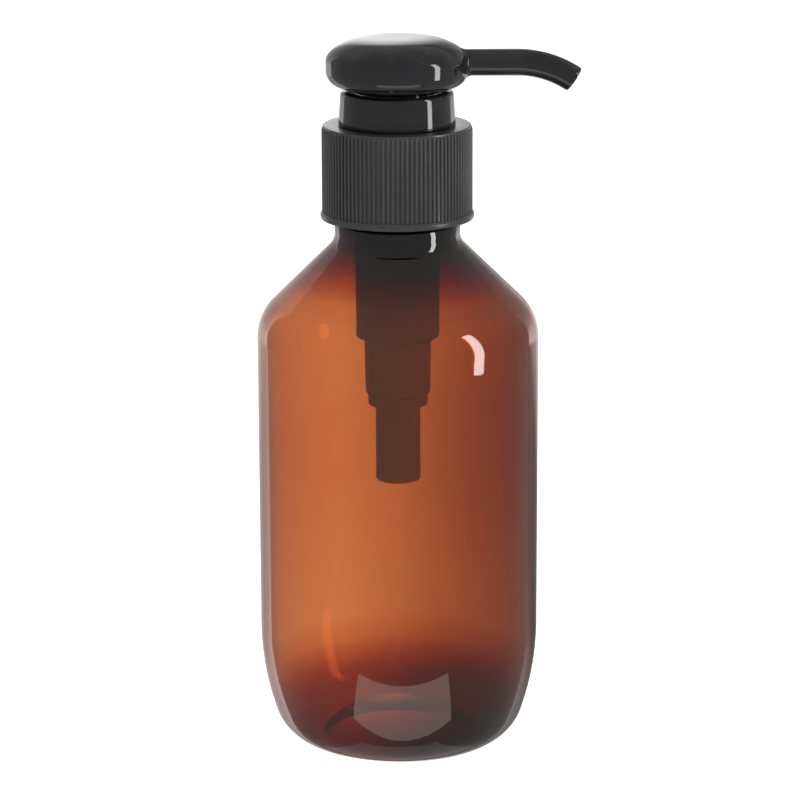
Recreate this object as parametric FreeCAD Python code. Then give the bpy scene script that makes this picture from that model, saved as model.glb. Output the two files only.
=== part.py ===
import FreeCAD, Part
import math
import os

# Soap pump dispenser: a clear bottle with a screw-on lotion pump.
# All lengths are in millimetres. The origin is on the bottle's axis, at the plane it stands on.
# +Z is up, +X is the way the spout points at rest and -Y is the front.

os.makedirs("parts", exist_ok=True)

# ---------------------------------------------------------------- driving dimensions

# bottle
BOTTLE_RADIUS = 31.5
BOTTLE_WALL = 1.05
FOOT_INNER_RADIUS = 17.0
FOOT_OUTER_RADIUS = 18.2
PUNT_HEIGHT = 8.0
HEEL_SMALL_RADIUS = 10.5
HEEL_BLEND_HEIGHT = 27.5
SHOULDER_START = 94.16
SHOULDER_RADIUS = 11.5
SHOULDER_SLOPE = 0.985
NECK_RADIUS = 14.0
NECK_FILLET = 3.0
NECK_TOP = 120.4
LIP_HEIGHT = 138.4
LIP_CHAMFER = 0.4
FINISH_RADIUS = 12.65
MOUTH_RADIUS = 10.9

# screw thread shared by the bottle's neck and the closure
THREAD_LEAD = 4.233
BOTTLE_THREAD_RADIUS = 13.7
BOTTLE_THREAD_START = 129.5
BOTTLE_THREAD_TURNS = 1.5
CLOSURE_THREAD_RADIUS = 12.95
CLOSURE_THREAD_TURNS = 1.3
CLOSURE_THREAD_LAG = 0.3
CLOSURE_THREAD_DROP = 1.6

# gasket
GASKET_THICKNESS = 1.0
GASKET_OUTER = 12.9

# pump housing
FLANGE_THICKNESS = 1.3
FLANGE_RADIUS = 13.4
COLLAR_SEAT_TOP = 142.3
BARREL_TOP_RADIUS = 10.2
BARREL_MID_RADIUS = 9.6
BARREL_LOW_RADIUS = 9.25
BARREL_FLOOR = 94.2
BARREL_BORE = 7.9
CHAMBER_TOP_RADIUS = 7.5
CHAMBER_LOW_RADIUS = 7.25
CHAMBER_FOOT_RADIUS = 6.7
CHAMBER_FLOOR = 78.6
CHAMBER_BORE = 6.35
CAGE_BORE = 5.6
SOCKET_RADIUS = 5.0
SOCKET_BORE = 4.0
SOCKET_END = 61.0
SOCKET_DEPTH = 14.0
INLET_HOLE = 1.9
VENT_RADIUS = 0.75

# locking collar
COLLAR_BASE = 142.2
COLLAR_TOP = 149.6
COLLAR_LOW_RADIUS = 13.0
COLLAR_HIGH_RADIUS = 12.5
COLLAR_WALL = 1.2
COLLAR_WEB_LOW = 142.4
COLLAR_WEB_HIGH = 143.8
MOUTH_RING_LOW = 146.9
MOUTH_RING_RADIUS = 8.35
NOTCH_RADIUS = 9.6
NOTCH_ANGLE = 64.0
GUIDE_BORE = 4.2
GUIDE_RADIUS = 5.6
GUIDE_END = 122.6

# ribbed closure
CLOSURE_TOP = 142.1
CLOSURE_INNER_TOP = 140.8
CLOSURE_BOTTOM = 121.2
CLOSURE_RIB_ROOT = 16.35
CLOSURE_RIB_CREST = 16.75
CLOSURE_FLARE = 17.1
CLOSURE_CAVITY = 14.4
CLOSURE_HOLE = 11.9
RIB_COUNT = 100
RIB_LOW = 122.9
RIB_HIGH = 141.0

# actuator head
HEAD_RADIUS = 15.75
HEAD_UNDERSIDE = 150.6
HEAD_CORNER = 3.6
HEAD_PARTING = 156.2
HEAD_DOME = 6.1
DISH_RADIUS = 10.5
DISH_DEPTH = 0.8
HEAD_CAVITY_LOW = 11.9
HEAD_CAVITY_HIGH = 11.2
HUB_RADIUS = 5.6
HUB_BORE = 4.15
HUB_END = 146.0
LOCK_SKIRT_INNER = 6.8
LOCK_SKIRT_OUTER = 8.0
LOCK_SKIRT_END = 144.9
LUG_RADIUS = 9.3
LUG_HEIGHT = 1.8
LUG_ANGLE = 50.0
HEAD_RIB_COUNT = 6
HEAD_RIB_THICKNESS = 1.0
SPOUT_RADIUS = 3.0
SPOUT_BORE = 1.75
SPOUT_HEIGHT = 155.8
SPOUT_STRAIGHT = 26.2
SPOUT_BEND_RADIUS = 23.0
SPOUT_BEND_ANGLE = 34.0
SPOUT_ROOT_FILLET = 0.8

# stem, plunger and piston
STEM_RADIUS = 4.12
STEM_BORE = 2.6
STEM_LOW = 107.3
STEM_HIGH = 153.0
STEM_SHOULDER_RADIUS = 4.6
STEM_SHOULDER_TOP = 108.4
PLUNGER_FLANGE_RADIUS = 5.8
PLUNGER_FLANGE_LOW = 96.6
PLUNGER_FLANGE_HIGH = 98.2
PLUNGER_NECK = 3.05
PLUNGER_PLUG = 2.58
PLUNGER_TOP = 114.0
PLUNGER_BORE = 1.6
PLUNGER_GUIDE = 3.6
PLUNGER_BOTTOM = 90.0
PORT_RADIUS = 1.1
PORT_HEIGHT = 100.0
PISTON_LOW = 98.25
PISTON_HIGH = 106.0
PISTON_BORE = 3.12
PISTON_LIP = 7.85

# return spring, ball cage and ball
SPRING_WIRE = 0.5
SPRING_RADIUS = 4.9
SPRING_LOW = 83.05
SPRING_HIGH = 96.55
SPRING_COILS = 8.0
CAGE_LOW = 79.75
CAGE_LEDGE = 83.0
CAGE_TOP = 86.6
BALL_RADIUS = 2.75
BALL_SEAT_GAP = 0.05


# ---------------------------------------------------------------- helpers

def vector(x, y, z):
    return FreeCAD.Vector(x, y, z)


def at(radius, height):
    return FreeCAD.Vector(radius, 0, height)


def line(start, end):
    return Part.LineSegment(at(*start), at(*end)).toShape()


def round_point(centre, radius, degrees):
    angle = math.radians(degrees)
    return (centre[0] + radius * math.cos(angle), centre[1] + radius * math.sin(angle))


def arc(centre, radius, first, last):
    start = round_point(centre, radius, first)
    middle = round_point(centre, radius, (first + last) / 2)
    end = round_point(centre, radius, last)
    return Part.Arc(at(*start), at(*middle), at(*end)).toShape()


def turned_edges(edges):
    face = Part.Face(Part.Wire(edges))
    return face.revolve(vector(0, 0, 0), vector(0, 0, 1), 360)


def turned(points):
    corners = [at(*point) for point in points]
    face = Part.Face(Part.makePolygon(corners + [corners[0]]))
    return face.revolve(vector(0, 0, 0), vector(0, 0, 1), 360)


def disc(radius, low, high):
    return Part.makeCylinder(radius, high - low, vector(0, 0, low))


def ring(inner, outer, low, high):
    return disc(outer, low, high).cut(disc(inner, low - 1, high + 1))


def sector(inner, outer, low, high, centre_angle, span):
    first = math.radians(centre_angle - span / 2)
    last = math.radians(centre_angle + span / 2)
    middle = math.radians(centre_angle)

    def corner(radius, angle):
        return vector(radius * math.cos(angle), radius * math.sin(angle), low)

    edges = [
        Part.Arc(corner(outer, first), corner(outer, middle), corner(outer, last)).toShape(),
        Part.LineSegment(corner(outer, last), corner(inner, last)).toShape(),
        Part.Arc(corner(inner, last), corner(inner, middle), corner(inner, first)).toShape(),
        Part.LineSegment(corner(inner, first), corner(outer, first)).toShape(),
    ]
    return Part.Face(Part.Wire(edges)).extrude(vector(0, 0, high - low))


def screw_ridge(section, lead, turns, radius):
    # A ridge of the given (radius, height) section wound as a right-hand screw from angle zero.
    path = Part.makeHelix(lead, lead * turns, radius)
    corners = [at(*point) for point in section]
    profile = Part.makePolygon(corners + [corners[0]])
    sweep = Part.BRepOffsetAPI.MakePipeShell(path)
    sweep.setFrenetMode(True)
    sweep.add(profile, False, False)
    sweep.build()
    sweep.makeSolid()
    return sweep.shape()


def one_solid(shape):
    if len(shape.Solids) != 1:
        raise RuntimeError("expected one solid, found %d" % len(shape.Solids))
    solid = shape.Solids[0]
    if not solid.isValid():
        raise RuntimeError("the solid isn't valid")
    return solid


def save(node, shape):
    solid = one_solid(shape)
    solid.exportStep("parts/" + node + ".step")
    print("%-14s %9.1f mm3" % (node, solid.Volume))


# ---------------------------------------------------------------- bottle

def bottle_shapes():
    # The wall is one outline offset inwards, so both skins share their arc centres.
    heel_centre = (FOOT_OUTER_RADIUS, HEEL_SMALL_RADIUS)
    reach = BOTTLE_RADIUS - FOOT_OUTER_RADIUS
    rise = HEEL_BLEND_HEIGHT - HEEL_SMALL_RADIUS
    spare = reach - HEEL_SMALL_RADIUS
    side_radius = (reach ** 2 + rise ** 2 - HEEL_SMALL_RADIUS ** 2) / (2 * spare)
    side_centre = (BOTTLE_RADIUS - side_radius, HEEL_BLEND_HEIGHT)
    blend_angle = -math.degrees(math.atan2(rise, heel_centre[0] - side_centre[0]))
    cone_angle = math.degrees(math.atan2(1.0, SHOULDER_SLOPE))
    shoulder_centre = (BOTTLE_RADIUS - SHOULDER_RADIUS, SHOULDER_START)
    neck_centre_radius = NECK_RADIUS + NECK_FILLET
    run = shoulder_centre[0] - neck_centre_radius
    step = (SHOULDER_RADIUS + NECK_FILLET) / math.sin(math.radians(cone_angle))
    neck_centre = (neck_centre_radius, SHOULDER_START + run * SHOULDER_SLOPE + step)
    punt_radius = (FOOT_INNER_RADIUS ** 2 + PUNT_HEIGHT ** 2) / (2 * PUNT_HEIGHT)
    punt_centre = (0.0, PUNT_HEIGHT - punt_radius)

    def skin(inset):
        # From the bottom of the heel up to the root of the neck.
        edges = []
        heel = HEEL_SMALL_RADIUS - inset
        side = side_radius - inset
        shoulder = SHOULDER_RADIUS - inset
        neck = NECK_FILLET + inset
        edges.append(arc(heel_centre, heel, -90, blend_angle))
        edges.append(arc(side_centre, side, blend_angle, 0))
        wall = BOTTLE_RADIUS - inset
        edges.append(line((wall, HEEL_BLEND_HEIGHT), (wall, SHOULDER_START)))
        edges.append(arc(shoulder_centre, shoulder, 0, cone_angle))
        cone_low = round_point(shoulder_centre, shoulder, cone_angle)
        cone_high = round_point(neck_centre, neck, cone_angle - 180)
        edges.append(line(cone_low, cone_high))
        edges.append(arc(neck_centre, neck, cone_angle - 180, -180))
        return edges

    def punt_arc(radius, edge_radius):
        edge_angle = math.degrees(math.acos(edge_radius / radius))
        return arc(punt_centre, radius, 90, edge_angle), round_point(punt_centre, radius, edge_angle)

    # outer skin, closed along the axis
    outer_punt, foot = punt_arc(punt_radius, FOOT_INNER_RADIUS)
    outer = [outer_punt, line(foot, (FOOT_OUTER_RADIUS, 0))]
    outer += skin(0.0)
    finish = [
        (NECK_RADIUS, neck_centre[1]),
        (NECK_RADIUS, NECK_TOP),
        (FINISH_RADIUS, NECK_TOP + 0.8),
        (FINISH_RADIUS, LIP_HEIGHT - LIP_CHAMFER),
        (FINISH_RADIUS - LIP_CHAMFER, LIP_HEIGHT),
        (0, LIP_HEIGHT),
        (0, PUNT_HEIGHT),
    ]
    outer += [line(finish[i], finish[i + 1]) for i in range(len(finish) - 1)]
    body = turned_edges(outer)

    # thread ridge on the neck
    ridge = [
        (FINISH_RADIUS - 0.4, -1.1),
        (FINISH_RADIUS + 0.05, -1.1),
        (BOTTLE_THREAD_RADIUS, -0.4),
        (BOTTLE_THREAD_RADIUS, 0.4),
        (FINISH_RADIUS + 0.05, 1.1),
        (FINISH_RADIUS - 0.4, 1.1),
    ]
    thread = screw_ridge(ridge, THREAD_LEAD, BOTTLE_THREAD_TURNS, FINISH_RADIUS)
    thread.translate(vector(0, 0, BOTTLE_THREAD_START))
    body = body.fuse(thread)

    # moulding gate left under the middle of the base
    gate = disc(2.2, PUNT_HEIGHT - 0.55, PUNT_HEIGHT + 0.3)
    body = body.fuse(gate)

    # hollow inside, from the base up through the mouth
    inner_radius = punt_radius + BOTTLE_WALL
    heel_floor = (FOOT_OUTER_RADIUS, BOTTLE_WALL)
    edge_radius = math.sqrt(inner_radius ** 2 - (BOTTLE_WALL - punt_centre[1]) ** 2)
    inner_punt, inner_foot = punt_arc(inner_radius, edge_radius)
    inner = [inner_punt, line(inner_foot, heel_floor)]
    inner += skin(BOTTLE_WALL)
    throat_radius = NECK_RADIUS - BOTTLE_WALL
    top = LIP_HEIGHT + 2
    mouth = [
        (throat_radius, neck_centre[1]),
        (throat_radius, neck_centre[1] + 0.8),
        (MOUTH_RADIUS, neck_centre[1] + 4.0),
        (MOUTH_RADIUS, top),
        (0, top),
        (0, PUNT_HEIGHT + BOTTLE_WALL),
    ]
    inner += [line(mouth[i], mouth[i + 1]) for i in range(len(mouth) - 1)]
    return body.cut(turned_edges(inner))


# ---------------------------------------------------------------- gasket and pump housing

FLANGE_LOW = LIP_HEIGHT + GASKET_THICKNESS
FLANGE_HIGH = FLANGE_LOW + FLANGE_THICKNESS


def gasket_shape():
    return ring(MOUTH_RADIUS, GASKET_OUTER, LIP_HEIGHT, FLANGE_LOW)


def housing_shape():
    outside = turned([
        (0, SOCKET_END),
        (SOCKET_RADIUS - 0.6, SOCKET_END),
        (SOCKET_RADIUS, SOCKET_END + 0.6),
        (SOCKET_RADIUS, CHAMBER_FLOOR),
        (CHAMBER_FOOT_RADIUS, CHAMBER_FLOOR),
        (CHAMBER_FOOT_RADIUS, CHAMBER_FLOOR + 2.4),
        (CHAMBER_LOW_RADIUS, CHAMBER_FLOOR + 2.9),
        (CHAMBER_TOP_RADIUS, BARREL_FLOOR),
        (BARREL_LOW_RADIUS - 0.5, BARREL_FLOOR),
        (BARREL_LOW_RADIUS, BARREL_FLOOR + 0.5),
        (BARREL_MID_RADIUS, 120.0),
        (BARREL_TOP_RADIUS, FLANGE_LOW),
        (FLANGE_RADIUS, FLANGE_LOW),
        (FLANGE_RADIUS, FLANGE_HIGH),
        (11.0, FLANGE_HIGH),
        (11.0, COLLAR_SEAT_TOP - 0.3),
        (10.7, COLLAR_SEAT_TOP),
        (0, COLLAR_SEAT_TOP),
    ])
    bore = turned([
        (0, CHAMBER_FLOOR + 1.1),
        (CAGE_BORE, CHAMBER_FLOOR + 1.1),
        (CAGE_BORE, CAGE_LEDGE),
        (CHAMBER_BORE, CAGE_LEDGE),
        (CHAMBER_BORE, BARREL_FLOOR + 1.2),
        (BARREL_BORE, BARREL_FLOOR + 1.2),
        (BARREL_BORE, 121.6),
        (8.8, 123.0),
        (9.2, FLANGE_LOW),
        (10.0, FLANGE_HIGH),
        (10.0, COLLAR_SEAT_TOP + 1),
        (0, COLLAR_SEAT_TOP + 1),
    ])
    socket = turned([
        (0, SOCKET_END - 1),
        (SOCKET_BORE + 0.3, SOCKET_END - 1),
        (SOCKET_BORE + 0.3, SOCKET_END),
        (SOCKET_BORE, SOCKET_END + 0.3),
        (SOCKET_BORE, SOCKET_END + SOCKET_DEPTH),
        (0, SOCKET_END + SOCKET_DEPTH),
    ])
    # cone the inlet ball sits on, opening upwards at 45 degrees
    seat_top = CHAMBER_FLOOR + 1.1
    seat_rise = 0.75
    seat = turned([
        (0, SOCKET_END + SOCKET_DEPTH - 1),
        (INLET_HOLE, SOCKET_END + SOCKET_DEPTH - 1),
        (INLET_HOLE, seat_top - seat_rise),
        (INLET_HOLE + seat_rise, seat_top),
        (INLET_HOLE + seat_rise, seat_top + 0.5),
        (0, seat_top + 0.5),
    ])
    vent = Part.makeCylinder(VENT_RADIUS, 12, vector(0, 0, 126.0), vector(0, 1, 0))
    shape = outside.cut(bore)
    shape = shape.cut(socket)
    shape = shape.cut(seat)
    return shape.cut(vent)


# ---------------------------------------------------------------- locking collar

def collar_shape():
    slope = (COLLAR_LOW_RADIUS - COLLAR_HIGH_RADIUS) / (COLLAR_TOP - COLLAR_BASE)
    edge = 0.8
    high_radius = COLLAR_HIGH_RADIUS + slope * edge
    outer = [
        line((0, COLLAR_BASE), (COLLAR_LOW_RADIUS, COLLAR_BASE)),
        line((COLLAR_LOW_RADIUS, COLLAR_BASE), (high_radius, COLLAR_TOP - edge)),
        arc((high_radius - edge, COLLAR_TOP - edge), edge, 0, 90),
        line((high_radius - edge, COLLAR_TOP), (0, COLLAR_TOP)),
        line((0, COLLAR_TOP), (0, COLLAR_BASE)),
    ]
    body = turned_edges(outer)
    skirt_outer = 11.75
    body = body.fuse(disc(skirt_outer, FLANGE_HIGH, COLLAR_BASE + 0.5))
    room = turned([
        (0, COLLAR_WEB_HIGH),
        (COLLAR_LOW_RADIUS - COLLAR_WALL, COLLAR_WEB_HIGH),
        (COLLAR_HIGH_RADIUS - COLLAR_WALL + 0.2, MOUTH_RING_LOW),
        (0, MOUTH_RING_LOW),
    ])
    body = body.cut(room)
    body = body.cut(disc(MOUTH_RING_RADIUS, MOUTH_RING_LOW - 1, COLLAR_TOP + 1))
    body = body.cut(disc(11.05, FLANGE_HIGH - 1, COLLAR_WEB_LOW))
    for turn in range(2):
        notch = sector(5.0, NOTCH_RADIUS, MOUTH_RING_LOW - 1, COLLAR_TOP + 1, 180 * turn, NOTCH_ANGLE)
        body = body.cut(notch)
    guide = disc(GUIDE_RADIUS, GUIDE_END, COLLAR_WEB_HIGH)
    body = body.fuse(guide)
    bore = turned([
        (0, GUIDE_END - 1),
        (GUIDE_BORE + 0.4, GUIDE_END - 1),
        (GUIDE_BORE + 0.4, GUIDE_END),
        (GUIDE_BORE, GUIDE_END + 0.4),
        (GUIDE_BORE, COLLAR_WEB_HIGH - 0.4),
        (GUIDE_BORE + 0.4, COLLAR_WEB_HIGH),
        (GUIDE_BORE + 0.4, COLLAR_WEB_HIGH + 1),
        (0, COLLAR_WEB_HIGH + 1),
    ])
    return body.cut(bore)


# ---------------------------------------------------------------- ribbed closure

def closure_shape():
    envelope = turned([
        (0, RIB_LOW),
        (CLOSURE_RIB_CREST + 1, RIB_LOW),
        (CLOSURE_RIB_CREST + 1, RIB_HIGH - 1.3),
        (CLOSURE_RIB_CREST - 0.35, RIB_HIGH),
        (0, RIB_HIGH),
    ])
    corners = []
    pitch = 2 * math.pi / RIB_COUNT
    # each rib is a little trapezium: up one flank, across the crest and down the other flank
    for index in range(RIB_COUNT):
        start = (index - 0.5) * pitch
        for share, radius in (
            (0.16, CLOSURE_RIB_ROOT),
            (0.34, CLOSURE_RIB_CREST),
            (0.66, CLOSURE_RIB_CREST),
            (0.84, CLOSURE_RIB_ROOT),
        ):
            angle = start + share * pitch
            corners.append(vector(radius * math.cos(angle), radius * math.sin(angle), RIB_LOW))
    outline = Part.Face(Part.makePolygon(corners + [corners[0]]))
    ribs = outline.extrude(vector(0, 0, RIB_HIGH - RIB_LOW)).common(envelope)

    top = turned([
        (0, RIB_HIGH - 0.5),
        (CLOSURE_RIB_CREST - 0.4, RIB_HIGH - 0.5),
        (CLOSURE_RIB_CREST - 0.4, CLOSURE_TOP - 0.4),
        (CLOSURE_RIB_CREST - 0.8, CLOSURE_TOP),
        (0, CLOSURE_TOP),
    ])
    base = turned_edges([
        line((0, CLOSURE_BOTTOM), (CLOSURE_FLARE - 0.5, CLOSURE_BOTTOM)),
        arc((CLOSURE_FLARE - 0.5, CLOSURE_BOTTOM + 0.5), 0.5, -90, 0),
        line((CLOSURE_FLARE, CLOSURE_BOTTOM + 0.5), (CLOSURE_FLARE, RIB_LOW - 0.5)),
        line((CLOSURE_FLARE, RIB_LOW - 0.5), (CLOSURE_RIB_CREST, RIB_LOW)),
        line((CLOSURE_RIB_CREST, RIB_LOW), (0, RIB_LOW)),
        line((0, RIB_LOW), (0, CLOSURE_BOTTOM)),
    ])
    cavity = turned([
        (0, CLOSURE_BOTTOM - 1),
        (CLOSURE_CAVITY + 0.5, CLOSURE_BOTTOM - 1),
        (CLOSURE_CAVITY + 0.5, CLOSURE_BOTTOM),
        (CLOSURE_CAVITY, CLOSURE_BOTTOM + 0.5),
        (CLOSURE_CAVITY, CLOSURE_INNER_TOP),
        (0, CLOSURE_INNER_TOP),
    ])
    body = ribs.fuse([top, base])
    body = body.cut(cavity)
    body = body.cut(disc(CLOSURE_HOLE, CLOSURE_INNER_TOP - 1, CLOSURE_TOP + 1))

    # inner thread, bearing on the underside of the bottle's thread
    ridge = [
        (CLOSURE_CAVITY + 0.4, -1.0),
        (CLOSURE_CAVITY - 0.05, -1.0),
        (CLOSURE_THREAD_RADIUS, -0.4),
        (CLOSURE_THREAD_RADIUS, 0.4),
        (CLOSURE_CAVITY - 0.05, 1.0),
        (CLOSURE_CAVITY + 0.4, 1.0),
    ]
    thread = screw_ridge(ridge, THREAD_LEAD, CLOSURE_THREAD_TURNS, CLOSURE_CAVITY)
    thread.rotate(vector(0, 0, 0), vector(0, 0, 1), -360 * CLOSURE_THREAD_LAG)
    drop = CLOSURE_THREAD_DROP + THREAD_LEAD * CLOSURE_THREAD_LAG
    thread.translate(vector(0, 0, BOTTLE_THREAD_START - drop))
    return body.fuse(thread)


# ---------------------------------------------------------------- actuator head

def dome_height(radius):
    crown = HEAD_DOME * math.sqrt(max(0.0, 1 - (radius / HEAD_RADIUS) ** 2))
    dish = 0.0
    if radius < DISH_RADIUS:
        dish = DISH_DEPTH * (1 - (radius / DISH_RADIUS) ** 2) ** 2
    return HEAD_PARTING + crown - dish


def head_shape():
    # outside: flat underside, rounded lower corner, short upright band and a dished dome
    flat_radius = HEAD_RADIUS - HEAD_CORNER
    corner_top = HEAD_UNDERSIDE + HEAD_CORNER
    samples = 15
    dome_points = []
    for index in range(samples + 1):
        angle = math.pi / 2 * index / samples
        radius = HEAD_RADIUS * math.cos(angle)
        dome_points.append((radius, dome_height(radius)))
    dome_points[-1] = (0.0, dome_height(0.0))
    dome = Part.BSplineCurve()
    dome.interpolate(
        [at(*point) for point in dome_points],
        InitialTangent=vector(0, 0, 1),
        FinalTangent=vector(-1, 0, 0),
    )
    outside = turned_edges([
        line((0, HEAD_UNDERSIDE), (flat_radius, HEAD_UNDERSIDE)),
        arc((flat_radius, corner_top), HEAD_CORNER, -90, 0),
        line((HEAD_RADIUS, corner_top), (HEAD_RADIUS, HEAD_PARTING)),
        dome.toShape(),
        line((0, dome_height(0.0)), (0, HEAD_UNDERSIDE)),
    ])

    # spout: a straight run out of the dome, then a bend down
    def spout_run(radius, start, angle):
        along = vector(1, 0, 0)
        run = Part.makeCylinder(radius, SPOUT_STRAIGHT - start, vector(start, 0, SPOUT_HEIGHT), along)
        circle = Part.Wire(Part.makeCircle(radius, vector(SPOUT_STRAIGHT, 0, SPOUT_HEIGHT), along))
        pivot = vector(SPOUT_STRAIGHT, 0, SPOUT_HEIGHT - SPOUT_BEND_RADIUS)
        bend = Part.Face(circle).revolve(pivot, vector(0, 1, 0), angle)
        return [run, bend]

    body = outside.fuse(spout_run(SPOUT_RADIUS, 10.0, SPOUT_BEND_ANGLE))
    root = []
    for edge in body.Edges:
        box = edge.BoundBox
        near = HEAD_RADIUS - 3 < box.XMin and box.XMax < HEAD_RADIUS + 0.5
        small = box.YLength < 2 * SPOUT_RADIUS + 0.2 and box.ZLength < 2 * SPOUT_RADIUS + 0.2
        if near and small and box.ZMin > HEAD_UNDERSIDE + 1:
            root.append(edge)
    body = body.makeFillet(SPOUT_ROOT_FILLET, root)

    # hollow underside, leaving the shell
    cavity = turned([
        (0, HEAD_UNDERSIDE - 1),
        (HEAD_CAVITY_LOW, HEAD_UNDERSIDE - 1),
        (HEAD_CAVITY_HIGH, 158.0),
        (HUB_RADIUS, 159.3),
        (0, 159.3),
    ])
    shell = body.cut(cavity)

    # hub for the stem, twist-lock skirt with its lugs, stiffening ribs and the covered spout run
    pieces = [disc(HUB_RADIUS, HUB_END, 159.5)]
    pieces.append(ring(LOCK_SKIRT_INNER, LOCK_SKIRT_OUTER, LOCK_SKIRT_END, 159.0))
    for turn in range(2):
        lug = sector(7.4, LUG_RADIUS, LOCK_SKIRT_END, LOCK_SKIRT_END + LUG_HEIGHT, 180 * turn, LUG_ANGLE)
        pieces.append(lug)
    for index in range(HEAD_RIB_COUNT):
        angle = 360.0 / HEAD_RIB_COUNT * (index + 0.5)
        rib = Part.makeBox(
            HEAD_CAVITY_HIGH - HUB_RADIUS + 1.4,
            HEAD_RIB_THICKNESS,
            159.0 - 152.0,
            vector(HUB_RADIUS - 0.7, -HEAD_RIB_THICKNESS / 2, 152.0),
        )
        trim = turned([(0, 151), (11.5, 151), (11.5, 158.2), (6.0, 159.4), (0, 159.4)])
        rib = rib.common(trim)
        rib.rotate(vector(0, 0, 0), vector(0, 0, 1), angle)
        pieces.append(rib)
    run_start = HUB_RADIUS - 1.0
    covered = Part.makeCylinder(
        SPOUT_RADIUS - 0.3,
        HEAD_CAVITY_LOW + 1.0 - run_start,
        vector(run_start, 0, SPOUT_HEIGHT),
        vector(1, 0, 0),
    )
    pieces.append(covered)
    shell = shell.fuse(pieces)

    # bore for the stem, a small chamber over it and the channel out through the spout
    shell = shell.cut(disc(HUB_BORE, HUB_END - 1, STEM_HIGH + 0.05))
    shell = shell.cut(disc(STEM_BORE, STEM_HIGH - 0.5, SPOUT_HEIGHT + SPOUT_BORE))
    # the channel is turned a little past the spout's end, so its mouth is cut clean through
    for length in spout_run(SPOUT_BORE, 0.0, SPOUT_BEND_ANGLE + 2.0):
        shell = shell.cut(length)
    return shell


# ---------------------------------------------------------------- stem, plunger and piston

def stem_shape():
    outside = turned([
        (0, STEM_LOW),
        (STEM_SHOULDER_RADIUS, STEM_LOW),
        (STEM_SHOULDER_RADIUS, STEM_SHOULDER_TOP - 0.4),
        (STEM_RADIUS, STEM_SHOULDER_TOP),
        (STEM_RADIUS, STEM_HIGH - 0.4),
        (STEM_RADIUS - 0.4, STEM_HIGH),
        (0, STEM_HIGH),
    ])
    return outside.cut(disc(STEM_BORE, STEM_LOW - 1, STEM_HIGH + 1))


def plunger_shape():
    outside = turned([
        (0, PLUNGER_BOTTOM),
        (PLUNGER_GUIDE - 0.6, PLUNGER_BOTTOM),
        (PLUNGER_GUIDE, PLUNGER_BOTTOM + 1.2),
        (PLUNGER_GUIDE, PLUNGER_FLANGE_LOW),
        (PLUNGER_FLANGE_RADIUS, PLUNGER_FLANGE_LOW),
        (PLUNGER_FLANGE_RADIUS, PLUNGER_FLANGE_HIGH),
        (PLUNGER_NECK, PLUNGER_FLANGE_HIGH),
        (PLUNGER_NECK, STEM_LOW),
        (PLUNGER_PLUG, STEM_LOW),
        (PLUNGER_PLUG, PLUNGER_TOP - 0.5),
        (PLUNGER_PLUG - 0.4, PLUNGER_TOP),
        (0, PLUNGER_TOP),
    ])
    body = outside.cut(disc(PLUNGER_BORE, PLUNGER_FLANGE_HIGH + 0.2, PLUNGER_TOP + 1))
    for direction in (vector(1, 0, 0), vector(0, 1, 0)):
        start = direction * -6.0 + vector(0, 0, PORT_HEIGHT)
        body = body.cut(Part.makeCylinder(PORT_RADIUS, 12, start, direction))
    return body


def piston_shape():
    # sleeve on the plunger's neck, a web and two thin lips that wipe the barrel
    return turned([
        (PISTON_BORE, PISTON_LOW),
        (4.6, PISTON_LOW),
        (4.6, 101.2),
        (6.4, 101.2),
        (PISTON_LIP - 0.7, PISTON_LOW + 0.35),
        (PISTON_LIP, PISTON_LOW + 0.35),
        (PISTON_LIP, PISTON_LOW + 1.1),
        (7.5, 101.4),
        (7.5, 102.9),
        (PISTON_LIP, PISTON_HIGH - 1.6),
        (PISTON_LIP, PISTON_HIGH - 0.9),
        (PISTON_LIP - 0.7, PISTON_HIGH - 0.9),
        (6.4, 103.0),
        (4.6, 103.0),
        (4.6, PISTON_HIGH),
        (PISTON_BORE, PISTON_HIGH),
    ])


# ---------------------------------------------------------------- spring, ball cage and ball

def spring_shape():
    wire_low = SPRING_LOW + SPRING_WIRE
    height = SPRING_HIGH - SPRING_LOW - 2 * SPRING_WIRE
    path = Part.makeHelix(height / SPRING_COILS, height, SPRING_RADIUS)
    circle = Part.Wire(Part.makeCircle(SPRING_WIRE, vector(SPRING_RADIUS, 0, 0), vector(0, 1, 0)))
    sweep = Part.BRepOffsetAPI.MakePipeShell(path)
    sweep.setFrenetMode(True)
    sweep.add(circle, False, False)
    sweep.build()
    sweep.makeSolid()
    spring = sweep.shape()
    spring.translate(vector(0, 0, wire_low))
    return spring


def cage_shape():
    body = turned([
        (0, CAGE_LOW),
        (CAGE_BORE - 0.05, CAGE_LOW),
        (CAGE_BORE - 0.05, CAGE_LEDGE),
        (4.2, CAGE_LEDGE),
        (4.2, CAGE_TOP - 0.8),
        (3.4, CAGE_TOP),
        (0, CAGE_TOP),
    ])
    body = body.cut(disc(3.15, CAGE_LOW - 1, CAGE_TOP - 1.0))
    for direction in (vector(1, 0, 0), vector(0, 1, 0)):
        slot_width = 1.8
        slot = Part.makeBox(12, slot_width, CAGE_TOP - CAGE_LEDGE, vector(-6, -slot_width / 2, CAGE_LEDGE + 0.4))
        if direction.y:
            slot.rotate(vector(0, 0, 0), vector(0, 0, 1), 90)
        body = body.cut(slot)
    return body


def ball_shape():
    # tangent to the 45 degree seat, with a hair of clearance
    seat_top = CHAMBER_FLOOR + 1.1
    apex = seat_top - INLET_HOLE - 0.75
    centre = apex + (BALL_RADIUS + BALL_SEAT_GAP) * math.sqrt(2)
    return Part.makeSphere(BALL_RADIUS, vector(0, 0, centre))


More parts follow.
